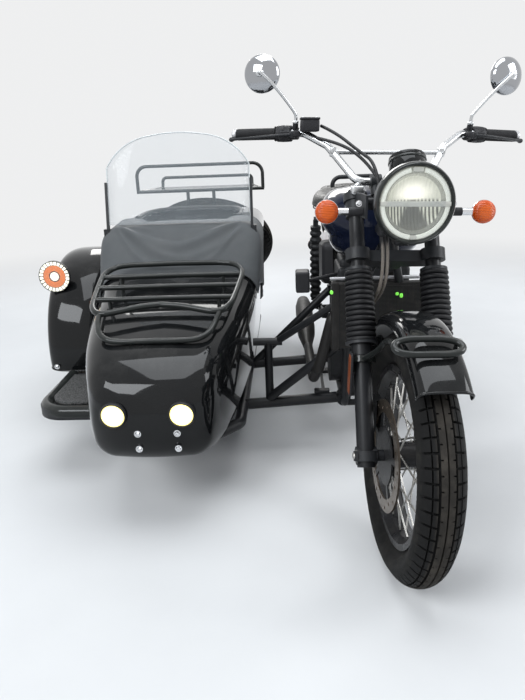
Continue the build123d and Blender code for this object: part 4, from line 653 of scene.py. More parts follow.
# Sidecar body: rounded sections eased along its length, straight behind the cockpit where the boot lid lies
hull = {
    "front": [(110, 60, 52, 332, 398, 26), (118, 108, 100, 300, 434, 46), (132, 146, 138, 276, 466, 58),
              (150, 172, 165, 258, 492, 64), (230, 200, 203, 245, 548, 66), (430, 228, 250, 240, 606, 66),
              (735, 250, 286, 240, 672, 66), (890, 258, 300, 240, 838, 62), (1420, 262, 300, 240, 856, 60),
              (1500, 258, 292, 242, 846, 55)],
    "tail": [(1500, 258, 292, 242, 846, 55), (1985, 180, 205, 262, 372, 40)],
    "crown": 5.0, "wall": 0.010, "rows": 125,
    "opening": (0.0, 1090.0, 215.0, 312.0, 4.0),     # x, y, half width, half length, squareness
    "deck": ((700, 900, 1500), (640, 790, 800)),     # y and z of the line that the cockpit is cut above
    "cockpit": (925, 1450), "boot": (170.5, 1506.5, 1955.5),                # from, to; half width, from, to
    "tailFall": 0.977, "lidDeep": 24,
}
topEdge = np.array([0.03, 0.08, 0.14, 0.2, 0.28, 0.36, 0.44, 0.5, 0.56, 0.64, 0.72, 0.8, 0.86, 0.92, 0.97])


def hullGrid(grow=0.0, first=None, last=None, rows=None):
    y = np.linspace(0, 1, rows or hull["rows"])
    ends = (first or hull["front"][0][0], last or tailTopY)
    y = ends[0] + (ends[1] - ends[0]) * (y if first else y ** 1.25)
    c = eased(hull["front"], y) + np.array([grow, grow, -grow, grow, grow])
    x, z = roundedSection(*c.T, hull["crown"], 9, topEdge)
    return np.stack([hullX + x, np.broadcast_to(y[:, None], x.shape), z], -1)


bodyGrid = hullGrid()
tailRows = np.linspace(tailTopY, tailFootY, 60)
tailTable = np.array(hull["tail"], float)
tailSizes = np.stack([np.interp(tailRows, tailTable[:, 0], tailTable[:, k]) for k in range(1, 6)], 1)
tailX, tailZ = roundedSection(*tailSizes.T, 0, 9, topEdge)
tailGrid = np.stack([hullX + tailX, np.broadcast_to(tailRows[:, None], tailX.shape), tailZ], -1)
tailGrid[0] = bodyGrid[-1]
wholeHull = np.concatenate([bodyGrid, tailGrid[1:]])
bodyPiece = meshPiece("sidecarBodyShell", [(capped(wholeHull), False, True)], "glossBlack", "chassis", 40,
                      "sidecar_body")


def openingReach(x, y):
    # 1 on the cockpit's outline, less inside it, with x from the body's middle
    ox, oy, hx, hy, square = hull["opening"]
    qx, qy = (x - ox) / hx, (y - oy) / hy
    return qx, qy, (np.abs(qx) ** square + np.abs(qy) ** square) ** (1 / square)


def cutHull(piece):
    # opens the cockpit along a rounded outline and the boot along a straight one; edge points move onto the outline
    mesh = piece.data
    count = len(mesh.vertices)
    co = np.empty(count * 3)
    mesh.vertices.foreach_get("co", co)
    p = co.reshape(-1, 3) * 1000 - shift
    ox, oy, hx, hy, square = hull["opening"]
    qx, qy, reach = openingReach(p[:, 0] - hullX, p[:, 1])
    front, back = hull["cockpit"]
    inside = (reach < 1.0) & (p[:, 2] > np.interp(p[:, 1], *hull["deck"])) & (p[:, 1] < back) & (p[:, 1] > front)
    half, first, last = hull["boot"]
    lidPart = (np.abs(p[:, 0] - hullX) < half) & (p[:, 1] > first) & (p[:, 1] < last) & (
        p[:, 2] > tailTopZ - (p[:, 1] - tailTopY) * hull["tailFall"] - hull["lidDeep"])
    bm = bmesh.new()
    bm.from_mesh(mesh)
    bm.verts.ensure_lookup_table()
    doomed = [f for f in bm.faces if all(inside[v.index] for v in f.verts) or all(lidPart[v.index] for v in f.verts)]
    bmesh.ops.delete(bm, geom=doomed, context="FACES")
    for v in bm.verts:
        if v.is_boundary and inside[v.index] and reach[v.index] > 0.88:
            r = reach[v.index]
            x, y = hullX + ox + qx[v.index] * hx / r, oy + qy[v.index] * hy / r
            v.co.x, v.co.y = (x + shift[0]) / 1000, (y + shift[1]) / 1000
    smoothed(bm, mesh, 40)


cutHull(bodyPiece)
thicken(bodyPiece, hull["wall"], -1).material_offset = 1
bodyPiece.data.materials.append(finishes["plasticBlack"])
inner = hullGrid(-14, 1419, 1431, 4)
meshPiece("cockpitBulkhead", [(capped(inner), False, True)], "plasticBlack", "chassis", 40)
print("sidecar body done")

# Soft cover over the cowl: the body's outline grown a little, hanging down both sides. Swags hang from the screen's
# feet with a hollow above them, and behind the screen it dips where the cockpit is open under it
cover = {"from": 737.0, "to": 1062.0, "off": 8.5, "thick": 0.0016, "rows": 125, "skirt": 30, "sag": 16.0,
         "hollow": (0.0, 852.0, 150.0, 24.0, 7.0),       # x, y, half width, half length, depth
         "swags": [  # lowest y, rise to the side, power, width, height, lean
             (812, 74, 1.5, 12, 7.5, 10), (786, 92, 1.9, 10, 4.5, -14), (762, 118, 2.6, 8, 3.2, 6),
             (838, 50, 1.2, 7, 2.4, -8)]}
coverY = np.linspace(cover["from"], cover["to"], cover["rows"])
sizes = eased(hull["front"], coverY)
corner, edge = 12, 90                                         # points in a corner and along a side of the outline
cx, cz = roundedSection(*(sizes + np.array([cover["off"], cover["off"], 0, cover["off"], cover["off"]])).T,
                        hull["crown"], corner, np.linspace(0, 1, edge + 2)[1:-1])
overTop = slice(corner + edge, 3 * corner + 2 * edge)         # the two upper corners and the top between them
cx, cz = cx[:, overTop], cz[:, overTop]
down = np.linspace(1, 0, cover["skirt"], endpoint=False)[None]
hemZ = np.interp(coverY[:, None], [737, 800, 830, 880, 1062],
                 [640, 628, 566, 556, 572]) + 5 * np.sin(coverY[:, None] / 38)
leftZ, rightZ = [cz[:, k:k + 1] * (1 - down) + hemZ * down for k in (0, cz.shape[1] - 1)]
lean = (sizes[:, 1] - sizes[:, 0])[:, None] / (sizes[:, 3] - sizes[:, 2])[:, None]
leftX = cx[:, :1] - (cz[:, :1] - leftZ) * lean + 4.0 * down ** 2
rightX = cx[:, -1:] + (cz[:, -1:] - rightZ) * lean - 4.0 * down ** 2
coverX = np.concatenate([leftX, cx, rightX[:, ::-1]], 1)
coverZ = np.concatenate([leftZ, cz, rightZ[:, ::-1]], 1)
yy = np.broadcast_to(coverY[:, None], coverX.shape)
reach = openingReach(coverX, yy)[2]
across = coverX / 246
sideFade = share((1.06 - np.abs(across)) / 0.12)
lift = 0.8 * np.sin(coverX / 31 + yy / 47) - 0.5
for lowest, rise, power, wide, high, leaning in cover["swags"]:
    fallLine = lowest + rise * np.abs(across) ** power + leaning * across
    lift = lift + high * sideFade * (np.exp(-((yy - fallLine) / wide) ** 2)
                                     - 0.45 * np.exp(-((yy - fallLine - 2.1 * wide) / (1.2 * wide)) ** 2))
hollowX, hollowY, halfX, halfY, deep = cover["hollow"]
lift = lift - deep * np.exp(-((coverX - hollowX) / halfX) ** 2 - ((yy - hollowY) / halfY) ** 2)
lift = np.maximum(lift, -cover["off"] + 3.0)
dip = cover["sag"] * share((1 - reach) / 0.25) ** 2 * share((yy - 940) / 70)
hanging = np.zeros_like(coverX)
hanging[:, :cover["skirt"]], hanging[:, -cover["skirt"]:] = down, down[:, ::-1]
ripple = hanging ** 0.7 * (3.2 + 3.0 * np.sin(yy / 21 + 1.1 * np.sign(coverX)) + 1.2 * np.sin(yy / 9.5))
coverPoints = np.stack([hullX + coverX + np.sign(coverX) * ripple, yy - lift * 0.45 * (hanging == 0),
                        coverZ + (lift * 0.9 - dip) * (hanging == 0)], -1)
coverPiece = meshPiece("tonneauCloth", [(coverPoints, False, False)], "coverCloth", "chassis", 75, "tonneau_cover",
                       closed=False)
thicken(coverPiece, cover["thick"])
hems = [tube(edge, 2.6, 8, 0.8) for edge in (coverPoints[0], coverPoints[-1], coverPoints[:, 0], coverPoints[:, -1])]
stitches = coverPoints[:, [cover["skirt"], -cover["skirt"] - 1]] + np.array([0, -0.6, 0.9])
hems += [tube(stitches[:, k], 1.5, 6, 0.7) for k in (0, 1)]
hemPiece = meshPiece("tonneauHem", hems, "coverCloth", "chassis", 60)

# Padded edge round the cockpit opening
t = np.radians(np.linspace(-26, 206, 90))
ox, oy, hx, hy, square = hull["opening"]
rimX, rimY = hx * squared(np.cos(t), square), oy + hy * squared(np.sin(t), square)
rimSizes = eased(hull["front"], rimY)
rimZ = rimSizes[:, 3] + hull["crown"] * (1 - (rimX / 240) ** 2) + 3
keepRim = rimY > 1050
rimPath = np.stack([hullX + rimX, rimY, rimZ], -1)[keepRim]
meshPiece("cockpitEdgeRoll", [tube(rimPath, 10, 14)], "seatVinyl", "chassis", 60)

# Fuel tank
tank = {"rows": 46, "crown": 10.0, "table": [
    (476, 40, 46, 838, 896, 24), (486, 76, 88, 806, 924, 36), (540, 129, 150, 770, 964, 56),
    (640, 153, 177, 754, 978, 70), (760, 143, 166, 758, 966, 66), (868, 106, 124, 786, 926, 46),
    (884, 78, 92, 806, 904, 34)]}
tankGrid = loftGrid(0.0, tank["table"], np.linspace(476, 884, tank["rows"]), tank["crown"])
meshPiece("tankShell", [(capped(tankGrid), False, True)], "tankNavy", "chassis", 40, "fuel_tank")
capProfile = [(0, 0), (0, 34), (4, 36), (7, 36), (9, 34), (9, 27), (15, 25), (19, 23), (21, 20), (21, 0)]
meshPiece("tankFillerCap", [(lathe(capProfile, (0, 640, 984), (0, 0.06, 1), (1, 0, 0), 48), True, False)],
          "chrome", "chassis", 30)
kneePads = []
for side in (-1, 1):
    s, q = np.meshgrid(np.linspace(0, 2 * math.pi, 48, endpoint=False), np.linspace(0, 1, 9), indexing="ij")
    y, z = 740 + 92 * q * squared(np.cos(s), 10 / 3), 868 + 44 * q * squared(np.sin(s), 10 / 3)
    sizesHere = eased(tank["table"], y.ravel()).reshape(*y.shape, 5)
    wide = sizesHere[..., 0] + (sizesHere[..., 1] - sizesHere[..., 0]) * (z - sizesHere[..., 2]) / (
        sizesHere[..., 3] - sizesHere[..., 2])
    x = side * (wide + tank["crown"] * 0.9 + 3.5 * (1 - q ** 6))
    kneePads.append((np.stack([x, y, z], -1), True, False))
meshPiece("tankKneePads", kneePads, "rubberBlack", "chassis", 50, closed=False)
print("cover and tank done")

# Saddles: crowned pads with a piped seam; ribs are shallow channels across the top
pads = {
    "riderSaddle": {
        "node": "rider_saddle", "x": 0.0, "crown": 8.0, "seam": 0.42, "ribs": (930, 1170, 11),
        "table": [(884, 70, 80, 858, 900, 18), (900, 92, 106, 846, 912, 26), (960, 134, 150, 838, 928, 36),
                  (1080, 168, 187, 836, 934, 38), (1170, 156, 174, 838, 944, 38), (1200, 128, 144, 844, 940, 34),
                  (1212, 96, 110, 860, 924, 26)]},
    "pillionPad": {
        "node": "pillion_saddle", "x": 0.0, "crown": 8.0, "seam": 0.42, "ribs": (1270, 1570, 13),
        "table": [(1234, 84, 96, 872, 914, 18), (1250, 112, 126, 856, 930, 28), (1300, 130, 145, 850, 942, 36),
                  (1480, 126, 140, 850, 938, 36), (1570, 100, 112, 856, 930, 30), (1590, 74, 84, 872, 912, 18)]},
}


def padGrid(p, rows=120, edge=26):
    low, high = p["table"][0][0], p["table"][-1][0]
    y = low + (high - low) * (0.5 - 0.5 * np.cos(np.linspace(0, math.pi, rows)))
    grid = loftGrid(p["x"], p["table"], y, p["crown"], 12, np.linspace(0, 1, edge)[1:-1])
    sizes = eased(p["table"], y)
    rise = (grid[..., 2] - sizes[:, 2:3]) / (sizes[:, 3:4] - sizes[:, 2:3])
    first, last, count = p["ribs"]
    pitch = (last - first) / (count - 1)
    near = np.abs((grid[..., 1] - first + pitch / 2) % pitch - pitch / 2)
    onTop = share((rise - 0.72) / 0.2) * (grid[..., 1] > first - 6) * (grid[..., 1] < last + 6)
    inner = share((1 - np.abs(grid[..., 0] - p["x"]) / (sizes[:, 1:2] * 0.86)) * 6)
    grid[..., 2] -= 4.2 * np.exp(-(near / 2.6) ** 2) * onTop * inner
    waist = np.exp(-((rise - p["seam"]) / 0.06) ** 2)
    middle = grid.mean(1, keepdims=True)
    grid += (middle - grid) * waist[..., None] * 0.022 * np.array([1, 0, 0])
    return grid, sizes, y


for name, p in pads.items():
    grid, sizes, y = padGrid(p)
    piece = meshPiece(name, [(capped(grid), False, True)], "seatVinyl", "chassis", 70, p["node"])
    seamZ = sizes[:, 2] + (sizes[:, 3] - sizes[:, 2]) * p["seam"]
    seamX = sizes[:, 0] + (sizes[:, 1] - sizes[:, 0]) * p["seam"] + p["crown"] * 0.9
    loop = np.concatenate([np.stack([p["x"] + seamX, y, seamZ], -1), np.stack([p["x"] - seamX, y, seamZ], -1)[::-1]])
    meshPiece(name + "Piping", [tube(loop, 2.6, 8)], "rubberBlack", "chassis", 60)
print("saddles done")

# Passenger's seat inside the sidecar: a ribbed cushion and a channelled back
seatBack = {"tilt": math.radians(-8), "centre": (1346.0, 560.0), "half": (198, 43, 208), "channels": 7}
s, q = np.meshgrid(np.linspace(0, 2 * math.pi, 160, endpoint=False), np.linspace(-1, 1, 90), indexing="ij")
qz = np.sin(q * math.pi / 2)
waist = (1 - np.abs(qz) ** 7) ** (1 / 7)
x = seatBack["half"][0] * squared(np.cos(s), 9) * waist
y = seatBack["half"][1] * squared(np.sin(s), 3.4) * waist
z = seatBack["half"][2] * qz
channel = np.abs((x / 396 * seatBack["channels"] + 0.5) % 1 - 0.5)
y = y + np.where(y < 0, 6.5 * np.exp(-(channel / 0.07) ** 2) * (np.abs(qz) < 0.93), 0)
c, k = math.cos(seatBack["tilt"]), math.sin(seatBack["tilt"])
backPoints = np.stack([hullX + x, seatBack["centre"][0] + y * c - z * k, seatBack["centre"][1] + y * k + z * c], -1)
backPoints[..., 1] = np.minimum(backPoints[..., 1], 1417)
backPad = meshPiece("passengerSeatBack", [(backPoints.transpose(1, 0, 2), False, True)], "seatVinyl", "chassis", 70,
                    "sidecar_seat")
basePad = {"x": hullX, "crown": 7.0, "seam": 0.6, "ribs": (1130, 1290, 5), "table": [
    (1090, 168, 170, 290, 400, 30), (1096, 186, 188, 264, 416, 34), (1120, 196, 198, 256, 424, 36),
    (1210, 198, 200, 254, 430, 36), (1300, 196, 198, 256, 418, 36), (1318, 186, 188, 270, 404, 34)]}
grid, sizes, y = padGrid(basePad)
seatPad = meshPiece("passengerSeatCushion", [(capped(grid), False, True)], "seatVinyl", "chassis", 70, None)
print("sidecar seat done")

# Mudguards: a rounded channel carried round the wheel, a bead rolled along its edges
guards = {
    "frontGuard": {"node": "front_mudguard", "body": "steering", "centre": (0, 0, wheelR), "half": 60.5,
                   "r": 380, "skirt": 33, "square": 3.4, "from": 24, "to": 132, "bead": 3.2},
    "rearGuard": {"node": "rear_mudguard", "body": "chassis", "centre": (0, wheelBase, wheelR), "half": 76.5,
                  "r": 388, "skirt": 33, "square": 3.4, "from": 14, "to": 150, "bead": 3.0},
    "sidecarGuard": {"node": "sidecar_mudguard", "body": "chassis", "centre": (sidecarX, sidecarY, wheelR),
                     "half": 109.5, "r": 390, "skirt": 58, "square": 2.9, "from": 10, "to": 188, "bead": 3.6},
}


def guardPoint(g, t, a):
    # t runs across the guard from one edge (0) over the crown to the other (pi); a runs round the wheel
    x = g["half"] * squared(np.cos(t), g["square"])
    r = g["r"] - g["skirt"] + g["skirt"] * squared(np.sin(t), g["square"])
    cx, cy, cz = g["centre"]
    return np.stack(np.broadcast_arrays(cx + x, cy + r * np.cos(a), cz + r * np.sin(a)), -1)


for name, g in guards.items():
    a = np.radians(np.linspace(g["from"], g["to"], 150))
    t = np.linspace(0, math.pi, 41)
    piece = meshPiece(name + "Shell", [(guardPoint(g, t[None], a[:, None]), False, False)], "glossBlack",
                      g["body"], 50, g["node"], closed=False)
    thicken(piece, 0.0022)
    across = np.linspace(0, math.pi, 60)
    border = np.concatenate([guardPoint(g, np.zeros(1), a), guardPoint(g, across, a[-1:])[1:],
                             guardPoint(g, np.full(1, math.pi), a[::-1])[1:],
                             guardPoint(g, across[::-1], a[:1])[1:-1]])
    meshPiece(name + "Bead", [(tube(border, g["bead"], 10, caps=False)[0], True, True)], "glossBlack", g["body"], 60)
print("mudguards done")


# Lamps' finishes: each lit face reads its own lamp's centre
def lampFace(name, centres, zones, strength, ridges=0.0):
    # rings of colour about each centre, from the middle outwards; ridges are the lens's fine lines
    f = Finish(name)
    near = None
    for centre in centres:
        r = f.length(f.awayFrom(centre))
        near = r if near is None else near.math("MINIMUM", near, r)
    colour = f.blend(0.0, zones[0][1], zones[0][1])
    for out, tint in zones[1:]:
        colour = f.blend(f.fade(near, out - 0.002, out + 0.002), colour, tint)
    lines = (f.split(f.coords, 2) * ridges).sine() + f.noise(160, 3) if ridges else f.noise(160, 3)
    colour = f.blend(f.fade(lines, 0.2, 1.2) * 0.35, colour, times(zones[-1][1], 0.55))
    return f.surface(colour, f.noise(90, 2) * 0.1 + 0.16, f.bump(lines, 0.0006, 0.6), glow=colour,
                     glowStrength=strength, specular=0.4)


def headlampGlass(name, centre):
    # behind the headlamp's glass: blown-out upper half, dim fluted lower half with a dark middle, grey at the bar
    f = Finish(name)
    d = f.awayFrom(centre)
    x, z = f.split(d, 0), f.split(d, 2)
    upper = f.fade(z, 0.002, 0.012)
    flutes = f.fade((x * 720).sine() + f.noise(70, 4) * 0.8, -0.2, 1.1)
    dark = f.fade(x.size() + z * 0.5, 0.004, 0.020)
    low = f.blend(flutes * dark, (0.10, 0.095, 0.075), (0.66, 0.66, 0.58))
    r = (x * x + z * z) ** 0.5
    band = f.fade(r, 0.0655, 0.0675)
    hot = f.fade((x * x * 0.55 + (z - 0.022) * (z - 0.022)) ** 0.5 + f.noise(45, 3) * 0.012, 0.052, 0.014)
    colour = f.blend(band, f.blend(upper, low, (0.42, 0.42, 0.37)), (0.20, 0.20, 0.17))
    lit = f.blend(upper, f.blend(flutes * dark, (0.02, 0.02, 0.015), (0.22, 0.22, 0.17)),
                  f.blend(hot, (0.30, 0.30, 0.24), (1.0, 0.98, 0.86)))
    lit = f.blend(band, lit, f.blend(upper, (0.06, 0.06, 0.05), (0.16, 0.16, 0.13)))
    return f.surface(colour, f.noise(60, 2) * 0.1 + 0.12, f.bump(flutes, 0.0012, 0.8), glow=lit, glowStrength=1.0)


# Headlamp: bowl, bezel with its screws, light ring broken at the top and foot, cross bar, glass
headlamp = {"at": (0.0, 94.0, 968.0), "ring": (75.5, 87.5), "gaps": (12.0, 6.0), "screws": (96, 180, 264),
            "bowl": [(4, 90), (6, 98), (14, 99), (34, 97.5), (62, 92), (92, 81), (118, 64), (138, 40), (148, 18),
                     (150, 0)],
            "bezel": [(3, 88.6), (-3, 90), (-6.5, 93), (-7, 96), (-2.5, 99), (6, 100.6), (13, 100.6), (15, 99),
                      (6, 95), (3, 88.6)],
            "mirror": [(4, 89.5), (6, 76), (3.5, 74.6), (2, 73), (4, 71.4), (9, 70), (22, 62), (34, 46), (41, 24),
                       (43, 0)],
            "glass": [(1.5, 89.2), (-2, 84), (-5.5, 66), (-8, 40), (-9, 14), (-9.1, 0)]}
lampAt, lampZ = headlamp["at"], headlamp["at"][2]
bowl, bezel, mirror, glass = [turned(lampAt, backwards, headlamp[k], count=96)
                              for k in ("bowl", "bezel", "mirror", "glass")]
(low, high), (gapTop, gapFoot) = headlamp["ring"], headlamp["gaps"]
between = (low + high) / 2
section = [(2, low), (-1, low + 2), (-1.6, between), (-1, high - 2), (2, high), (4, between)]
lightRing = [(capped(lathe(section, lampAt, backwards, (0, 0, 1), 60, np.radians(ends))), False, True)
             for ends in ((gapTop, 180 - gapFoot), (180 + gapFoot, 360 - gapTop))]
bezelBolts = [bolt((99.5 * math.sin(t), 98, lampZ + 99.5 * math.cos(t)), (math.sin(t), -0.6, math.cos(t)), 3.0, 2.5)
              for t in np.radians(headlamp["screws"])]
meshPiece("headlampBowl", bowl, "satinBlack", "steering", 35, "headlamp_shell", closed=False)
meshPiece("headlampBezel", bezel + bezelBolts, "smoothBlack", "steering", 35)
meshPiece("headlampMirror", mirror, headlampGlass("headlampMirror", placed(lampAt, True)), "steering", 35, None,
          closed=False)
meshPiece("headlampLightRing", lightRing, "ringWhite", "steering", 40)
meshPiece("headlampCrossBar", [pebble((0, 93, lampZ), (88.5, 3.2, 6.4), 9),
                               pebble((0, 93, lampZ - 81.5), (8.5, 3, 5.2)),
                               pebble((0, 93, lampZ + 81.5), (13, 2.4, 5.4))], "lampGrey", "steering", 35)
meshPiece("headlampGlass", glass, "lensClear", "steering", 60, "headlamp_lens", closed=False)
meshPiece("headlampBracket", [pebble((0, 172, 872), (30, 26, 16)), pebble((-62, 168, 906), (9, 22, 26)),
                              pebble((62, 168, 906), (9, 22, 26))], "frameBlack", "steering", 40)

# Turn indicators: lens, bright bowl and stalk, black sleeve next to the headlamp's ear
indicator = {"at": np.array([206.0, 182.0, 941.0]),
             "lens": [(0, 29.6), (7, 30), (13, 28.5), (18, 22), (20.5, 11), (21, 0)],
             "bowl": [(0, 31), (2.5, 31), (2.5, 29.5), (0, 29.5), (0, 31)],
             "back": [(0, 30.6), (-10, 28), (-20, 17), (-24, 0)],
             "tints": [(0, (0.34, 0.045, 0.006)), (0.012, (0.62, 0.105, 0.010)), (0.026, (0.50, 0.07, 0.006))]}
lensParts, brightParts, sleeveParts, lensCentres = [], [], [], []
for side in (-1, 1):
    at = indicator["at"] * (side, 1, 1)
    lensParts += turned(at, forward, indicator["lens"], count=48)
    brightParts += turned(at, forward, indicator["bowl"], indicator["back"], count=48)
    brightParts += [tube([(side * x, 184, 941) for x in (186, 170, 150)], 9.5, 24),
                    bolt((side * 124, 176, 962), (0, -1, 0.3), 6, 6)]
    sleeveParts.append(tube([(side * x, 184, 941) for x in (151, 149, 112)], [8, 11, 11], 24))
    lensCentres.append(placed(at, True))
meshPiece("indicatorLenses", lensParts, lampFace("indicatorLens", lensCentres, indicator["tints"], 0.16, 1500),
          "steering", 40, "front_indicators", closed=False)
meshPiece("indicatorStalks", brightParts, "chrome", "steering", 35, closed=False)
meshPiece("indicatorSleeves", sleeveParts, "plasticBlack", "steering", 35)

# Speedometer: black can, black ring, dark dial facing the rider
speedo = {"at": np.array([20.0, 262.0, 1046.0]), "lean": math.radians(28),
          "can": [(-31, 0), (-31, 36), (-28, 44), (-20, 48.5), (-6, 49.5), (13, 49.5), (16, 48), (24, 46)],
          "ring": [(14, 49.4), (16, 51), (20, 51), (22, 49.6), (18, 48), (14, 49.4)],
          "lip": [(22, 49.8), (27, 50), (31.5, 48.5), (31.5, 45), (27, 44), (22, 46), (22, 49.8)],
          "dial": [(26, 45), (26, 0)]}
axis = (0, math.sin(speedo["lean"]), math.cos(speedo["lean"]))
can, ring, lip, dial = [turned(speedo["at"], axis, speedo[k], side=(1, 0, 0)) for k in ("can", "ring", "lip", "dial")]
bracket = [pebble((20, 322, 998), (27, 30, 6)), tube([(20, 285, 1034), (20, 300, 996)], 7, 16)]
meshPiece("speedometerCan", can + lip + bracket, "glossBlack", "steering", 35, "speedometer",
          closed=False)
meshPiece("speedometerRing", ring, "smoothBlack", "steering", 35)
f = Finish("speedometerDial")
d = f.awayFrom(placed(speedo["at"], True))
turn, r = d.math("ARCTAN2", f.split(d, 0), f.split(d, 1)), f.length(d)
ticks = ((turn * 30).sine() > 0.86) * (r > 0.041) * (r < 0.050)
tone = f.blend(ticks, f.blend(f.noise(60, 2), (0.010, 0.010, 0.011), (0.02, 0.02, 0.022)), (0.8, 0.8, 0.78))
face = f.surface(tone, f.noise(80, 2) * 0.1 + 0.25, f.bump(f.noise(300, 1), 0.00005, 0.4))
meshPiece("speedometerDial", dial, face, "steering", 35, closed=False)

# Bar controls, mirrored left and right: ribbed grip, end cap, switch, lever in its perch, mirror
barIn, barOut = np.array([236.0, 494, 1140]), np.array([440.0, 572, 1136])
barRun = (barOut - barIn) / np.linalg.norm(barOut - barIn)
ribs = [(d, 16.2 + 1.0 * (k % 2)) for k, d in enumerate(np.linspace(90, 210, 61))]
control = {"grip": [(86, 11), (86, 21), (89, 21.5), (90, 17)] + ribs + [(212, 16), (212, 11)],
           "cap": [(212, 11), (212, 15.5), (215, 17), (222, 16.5), (226, 12), (227, 0)],
           "switch": [(36, 11), (36, 20), (39, 23), (57, 24), (59, 22.6), (61, 24), (81, 23), (85, 19), (85, 11)],
           "perch": [(17, 11), (17, 16.5), (20, 18), (32, 18), (35, 16.5), (35, 11)],
           "lever": [(268, 486, 1136), (284, 478, 1135), (318, 480, 1133), (372, 500, 1128), (414, 528, 1125),
                     (452, 560, 1122)],
           "stem": [(262, 488, 1166), (262, 486, 1186), (268, 483, 1200), (300, 476, 1238), (334, 472, 1274),
                    (366, 474, 1302)],
           "dome": [(-10, 0), (-10, 46), (-11, 48), (-10, 52), (-4, 53), (3, 51), (9, 44), (15, 31), (19, 15),
                    (20.5, 0)],
           "mirrorAxis": (0.30, -0.95, 0.06), "mirrorAt": (362, 504, 1302)}
grips, caps, switches, levers, brights, domes = [], [], [], [], [], []
for side in (-1, 1):
    flip = np.array([side, 1, 1])
    start, run = barIn * flip, barRun * flip
    hub = start + run * 60
    grips += turned(start, run, control["grip"], count=48)
    caps += turned(start, run, control["cap"], count=32)
    switches += turned(start, run, control["switch"], control["perch"], count=40)
    switches += [pebble(hub + (0, -18, -6), (20, 12, 13)), pebble(hub + (0, 12, 16), (9, 7, 6)),
                 pebble(start + run * 26 + (0, -14, -2), (11, 20, 9)),
                 tube([(side * 262, 500, 1142), (side * 262, 488, 1168)], [10, 8], 18)]
    wide = np.interp(np.arange(60), [0, 8, 40, 55, 59], [7, 6.2, 5.4, 5.2, 7.0])
    levers += [tube(curveThrough(control["lever"], 60) * flip, wide, 16, 0.75),
               pebble(np.array(control["lever"][-1]) * flip, (8, 8, 7), 2.2),
               pebble((side * 270, 489, 1136), (13, 15, 9.5))]
    brights += [bolt((side * 270, 489, 1145), (0, 0, 1), 6, 4), bolt((side * 162, 411, 1087), forward, 4.5, 4),
                pebble((side * 158, 424, 1087), (9.5, 13.5, 13.5)), pebble((side * 262, 488, 1170), (9, 9, 5), 3),
                tube(curveThrough(control["stem"], 50) * flip, 5.0, 18),
                pebble((side * 368, 478, 1304), (8, 9, 8), 2), pebble((side * 369, 485, 1303), (12, 5, 12), 2),
                bolt((-223 + side * 20, 463, 1182), (0, 0, 1), 3, 2), pebble((side * 105, 300, 988), (19, 17, 13), 5),
                bolt((side * 105, 300, 1001), (0, 0.3, 1), 9, 6)]
    domes += turned(np.array(control["mirrorAt"]) * flip, np.array(control["mirrorAxis"]) * flip, control["dome"])
reservoir = [pebble((-223, 463, 1160), (27, 23, 17), 9), pebble((-223, 463, 1179), (28.5, 24.5, 3.4), 9)]
meshPiece("barGrips", grips, "rubberBlack", "steering", 30, "hand_controls", closed=False)
meshPiece("barEndCaps", caps, "castAlloy", "steering", 35, closed=False)
meshPiece("switchesAndPerches", switches + reservoir, "plasticBlack", "steering", 40, closed=False)
meshPiece("brakeAndClutchLevers", levers, "satinBlack", "steering", 50)
meshPiece("mirrorStems", brights, "barChrome", "steering", 35, closed=False)
meshPiece("mirrorDomes", domes, "mirrorGrey", "steering", 35, "mirrors", closed=False)

# Fork gaiters: rounded ribs, r = foot radius - taper - depth of the groove between two ribs
gaiter = {"low": 300.3, "high": 500.0, "r": 41.5, "taper": 2.5, "ribs": 14, "deep": 6.5,
          "bands": ((296, 303, 43), (499, 507, 37), (-14, 12, 33))}
long = gaiter["high"] - gaiter["low"]
t = np.linspace(0, 1, gaiter["ribs"] * 9 + 1)
rib = np.abs(np.sin(math.pi * gaiter["ribs"] * t)) ** 0.45
profile = np.stack([t * long, gaiter["r"] - gaiter["taper"] * t - gaiter["deep"] * (1 - rib)], -1)
profile = np.concatenate([[(0, 24)], profile, [(long, 24)]])


def onForks(profile, low, count):
    return [(inFork(lathe(profile, (side * 105, -60, low), (0, 0, 1), (1, 0, 0), count)), True, False)
            for side in (-1, 1)]


meshPiece("forkGaiterRibs", onForks(profile, gaiter["low"], 56), "gaiterRubber", "steering", 60, "fork_gaiters",
          closed=False)
meshPiece("forkBands", [part for low, high, r in gaiter["bands"] for part in onForks(
    [(0, r - 8), (0, r), (high - low, r), (high - low, r - 8)], low, 48)], "satinBlack", "steering", 35, closed=False)

# Bar round the front of the mudguard: a flat loop on two arms from the fork legs
hoop = [(0, -148, 698), (40, -149, 697), (66, -157, 693), (76, -171, 686), (66, -185, 679), (40, -191, 676),
        (0, -192, 676)]
hoop = mirrored(curveThrough(hoop, 70)) + (-24, 0, 0)
arms = [tube(curveThrough([(-24 + side * 74, -160, 690), (-14 + side * 80, -110, 679), (-6 + side * 80, -40, 655),
                           (side * 88, 30, 610), (side * 108, 92, 566)], 40), 7.5, 16) for side in (-1, 1)]
cuffs = onForks([(0, 26), (0, 37), (16, 37), (16, 26), (0, 26)], 246, 40)
meshPiece("mudguardHoopTubes", [(tube(hoop, 8.0, 18, caps=False)[0], True, True)] + arms + cuffs, "smoothBlack",
          "steering", 40, "mudguard_hoop")

# Fork reflectors in black frames
frames = [pebble((side * x, y, 525), half, square) for x, y, half, square in (
    (139.5, 91, (3.2, 18, 60), 8), (122, 98, (17, 6, 6), 6)) for side in (-1, 1)]
meshPiece("reflectorFrames", frames, "plasticBlack", "steering", 40, "fork_reflectors")
reflectors = [pebble((side * 141.5, 91, 525), (2.6, 14, 55), 8) for side in (-1, 1)]
meshPiece("reflectorLenses", reflectors, "reflectorAmber", "steering", 40)

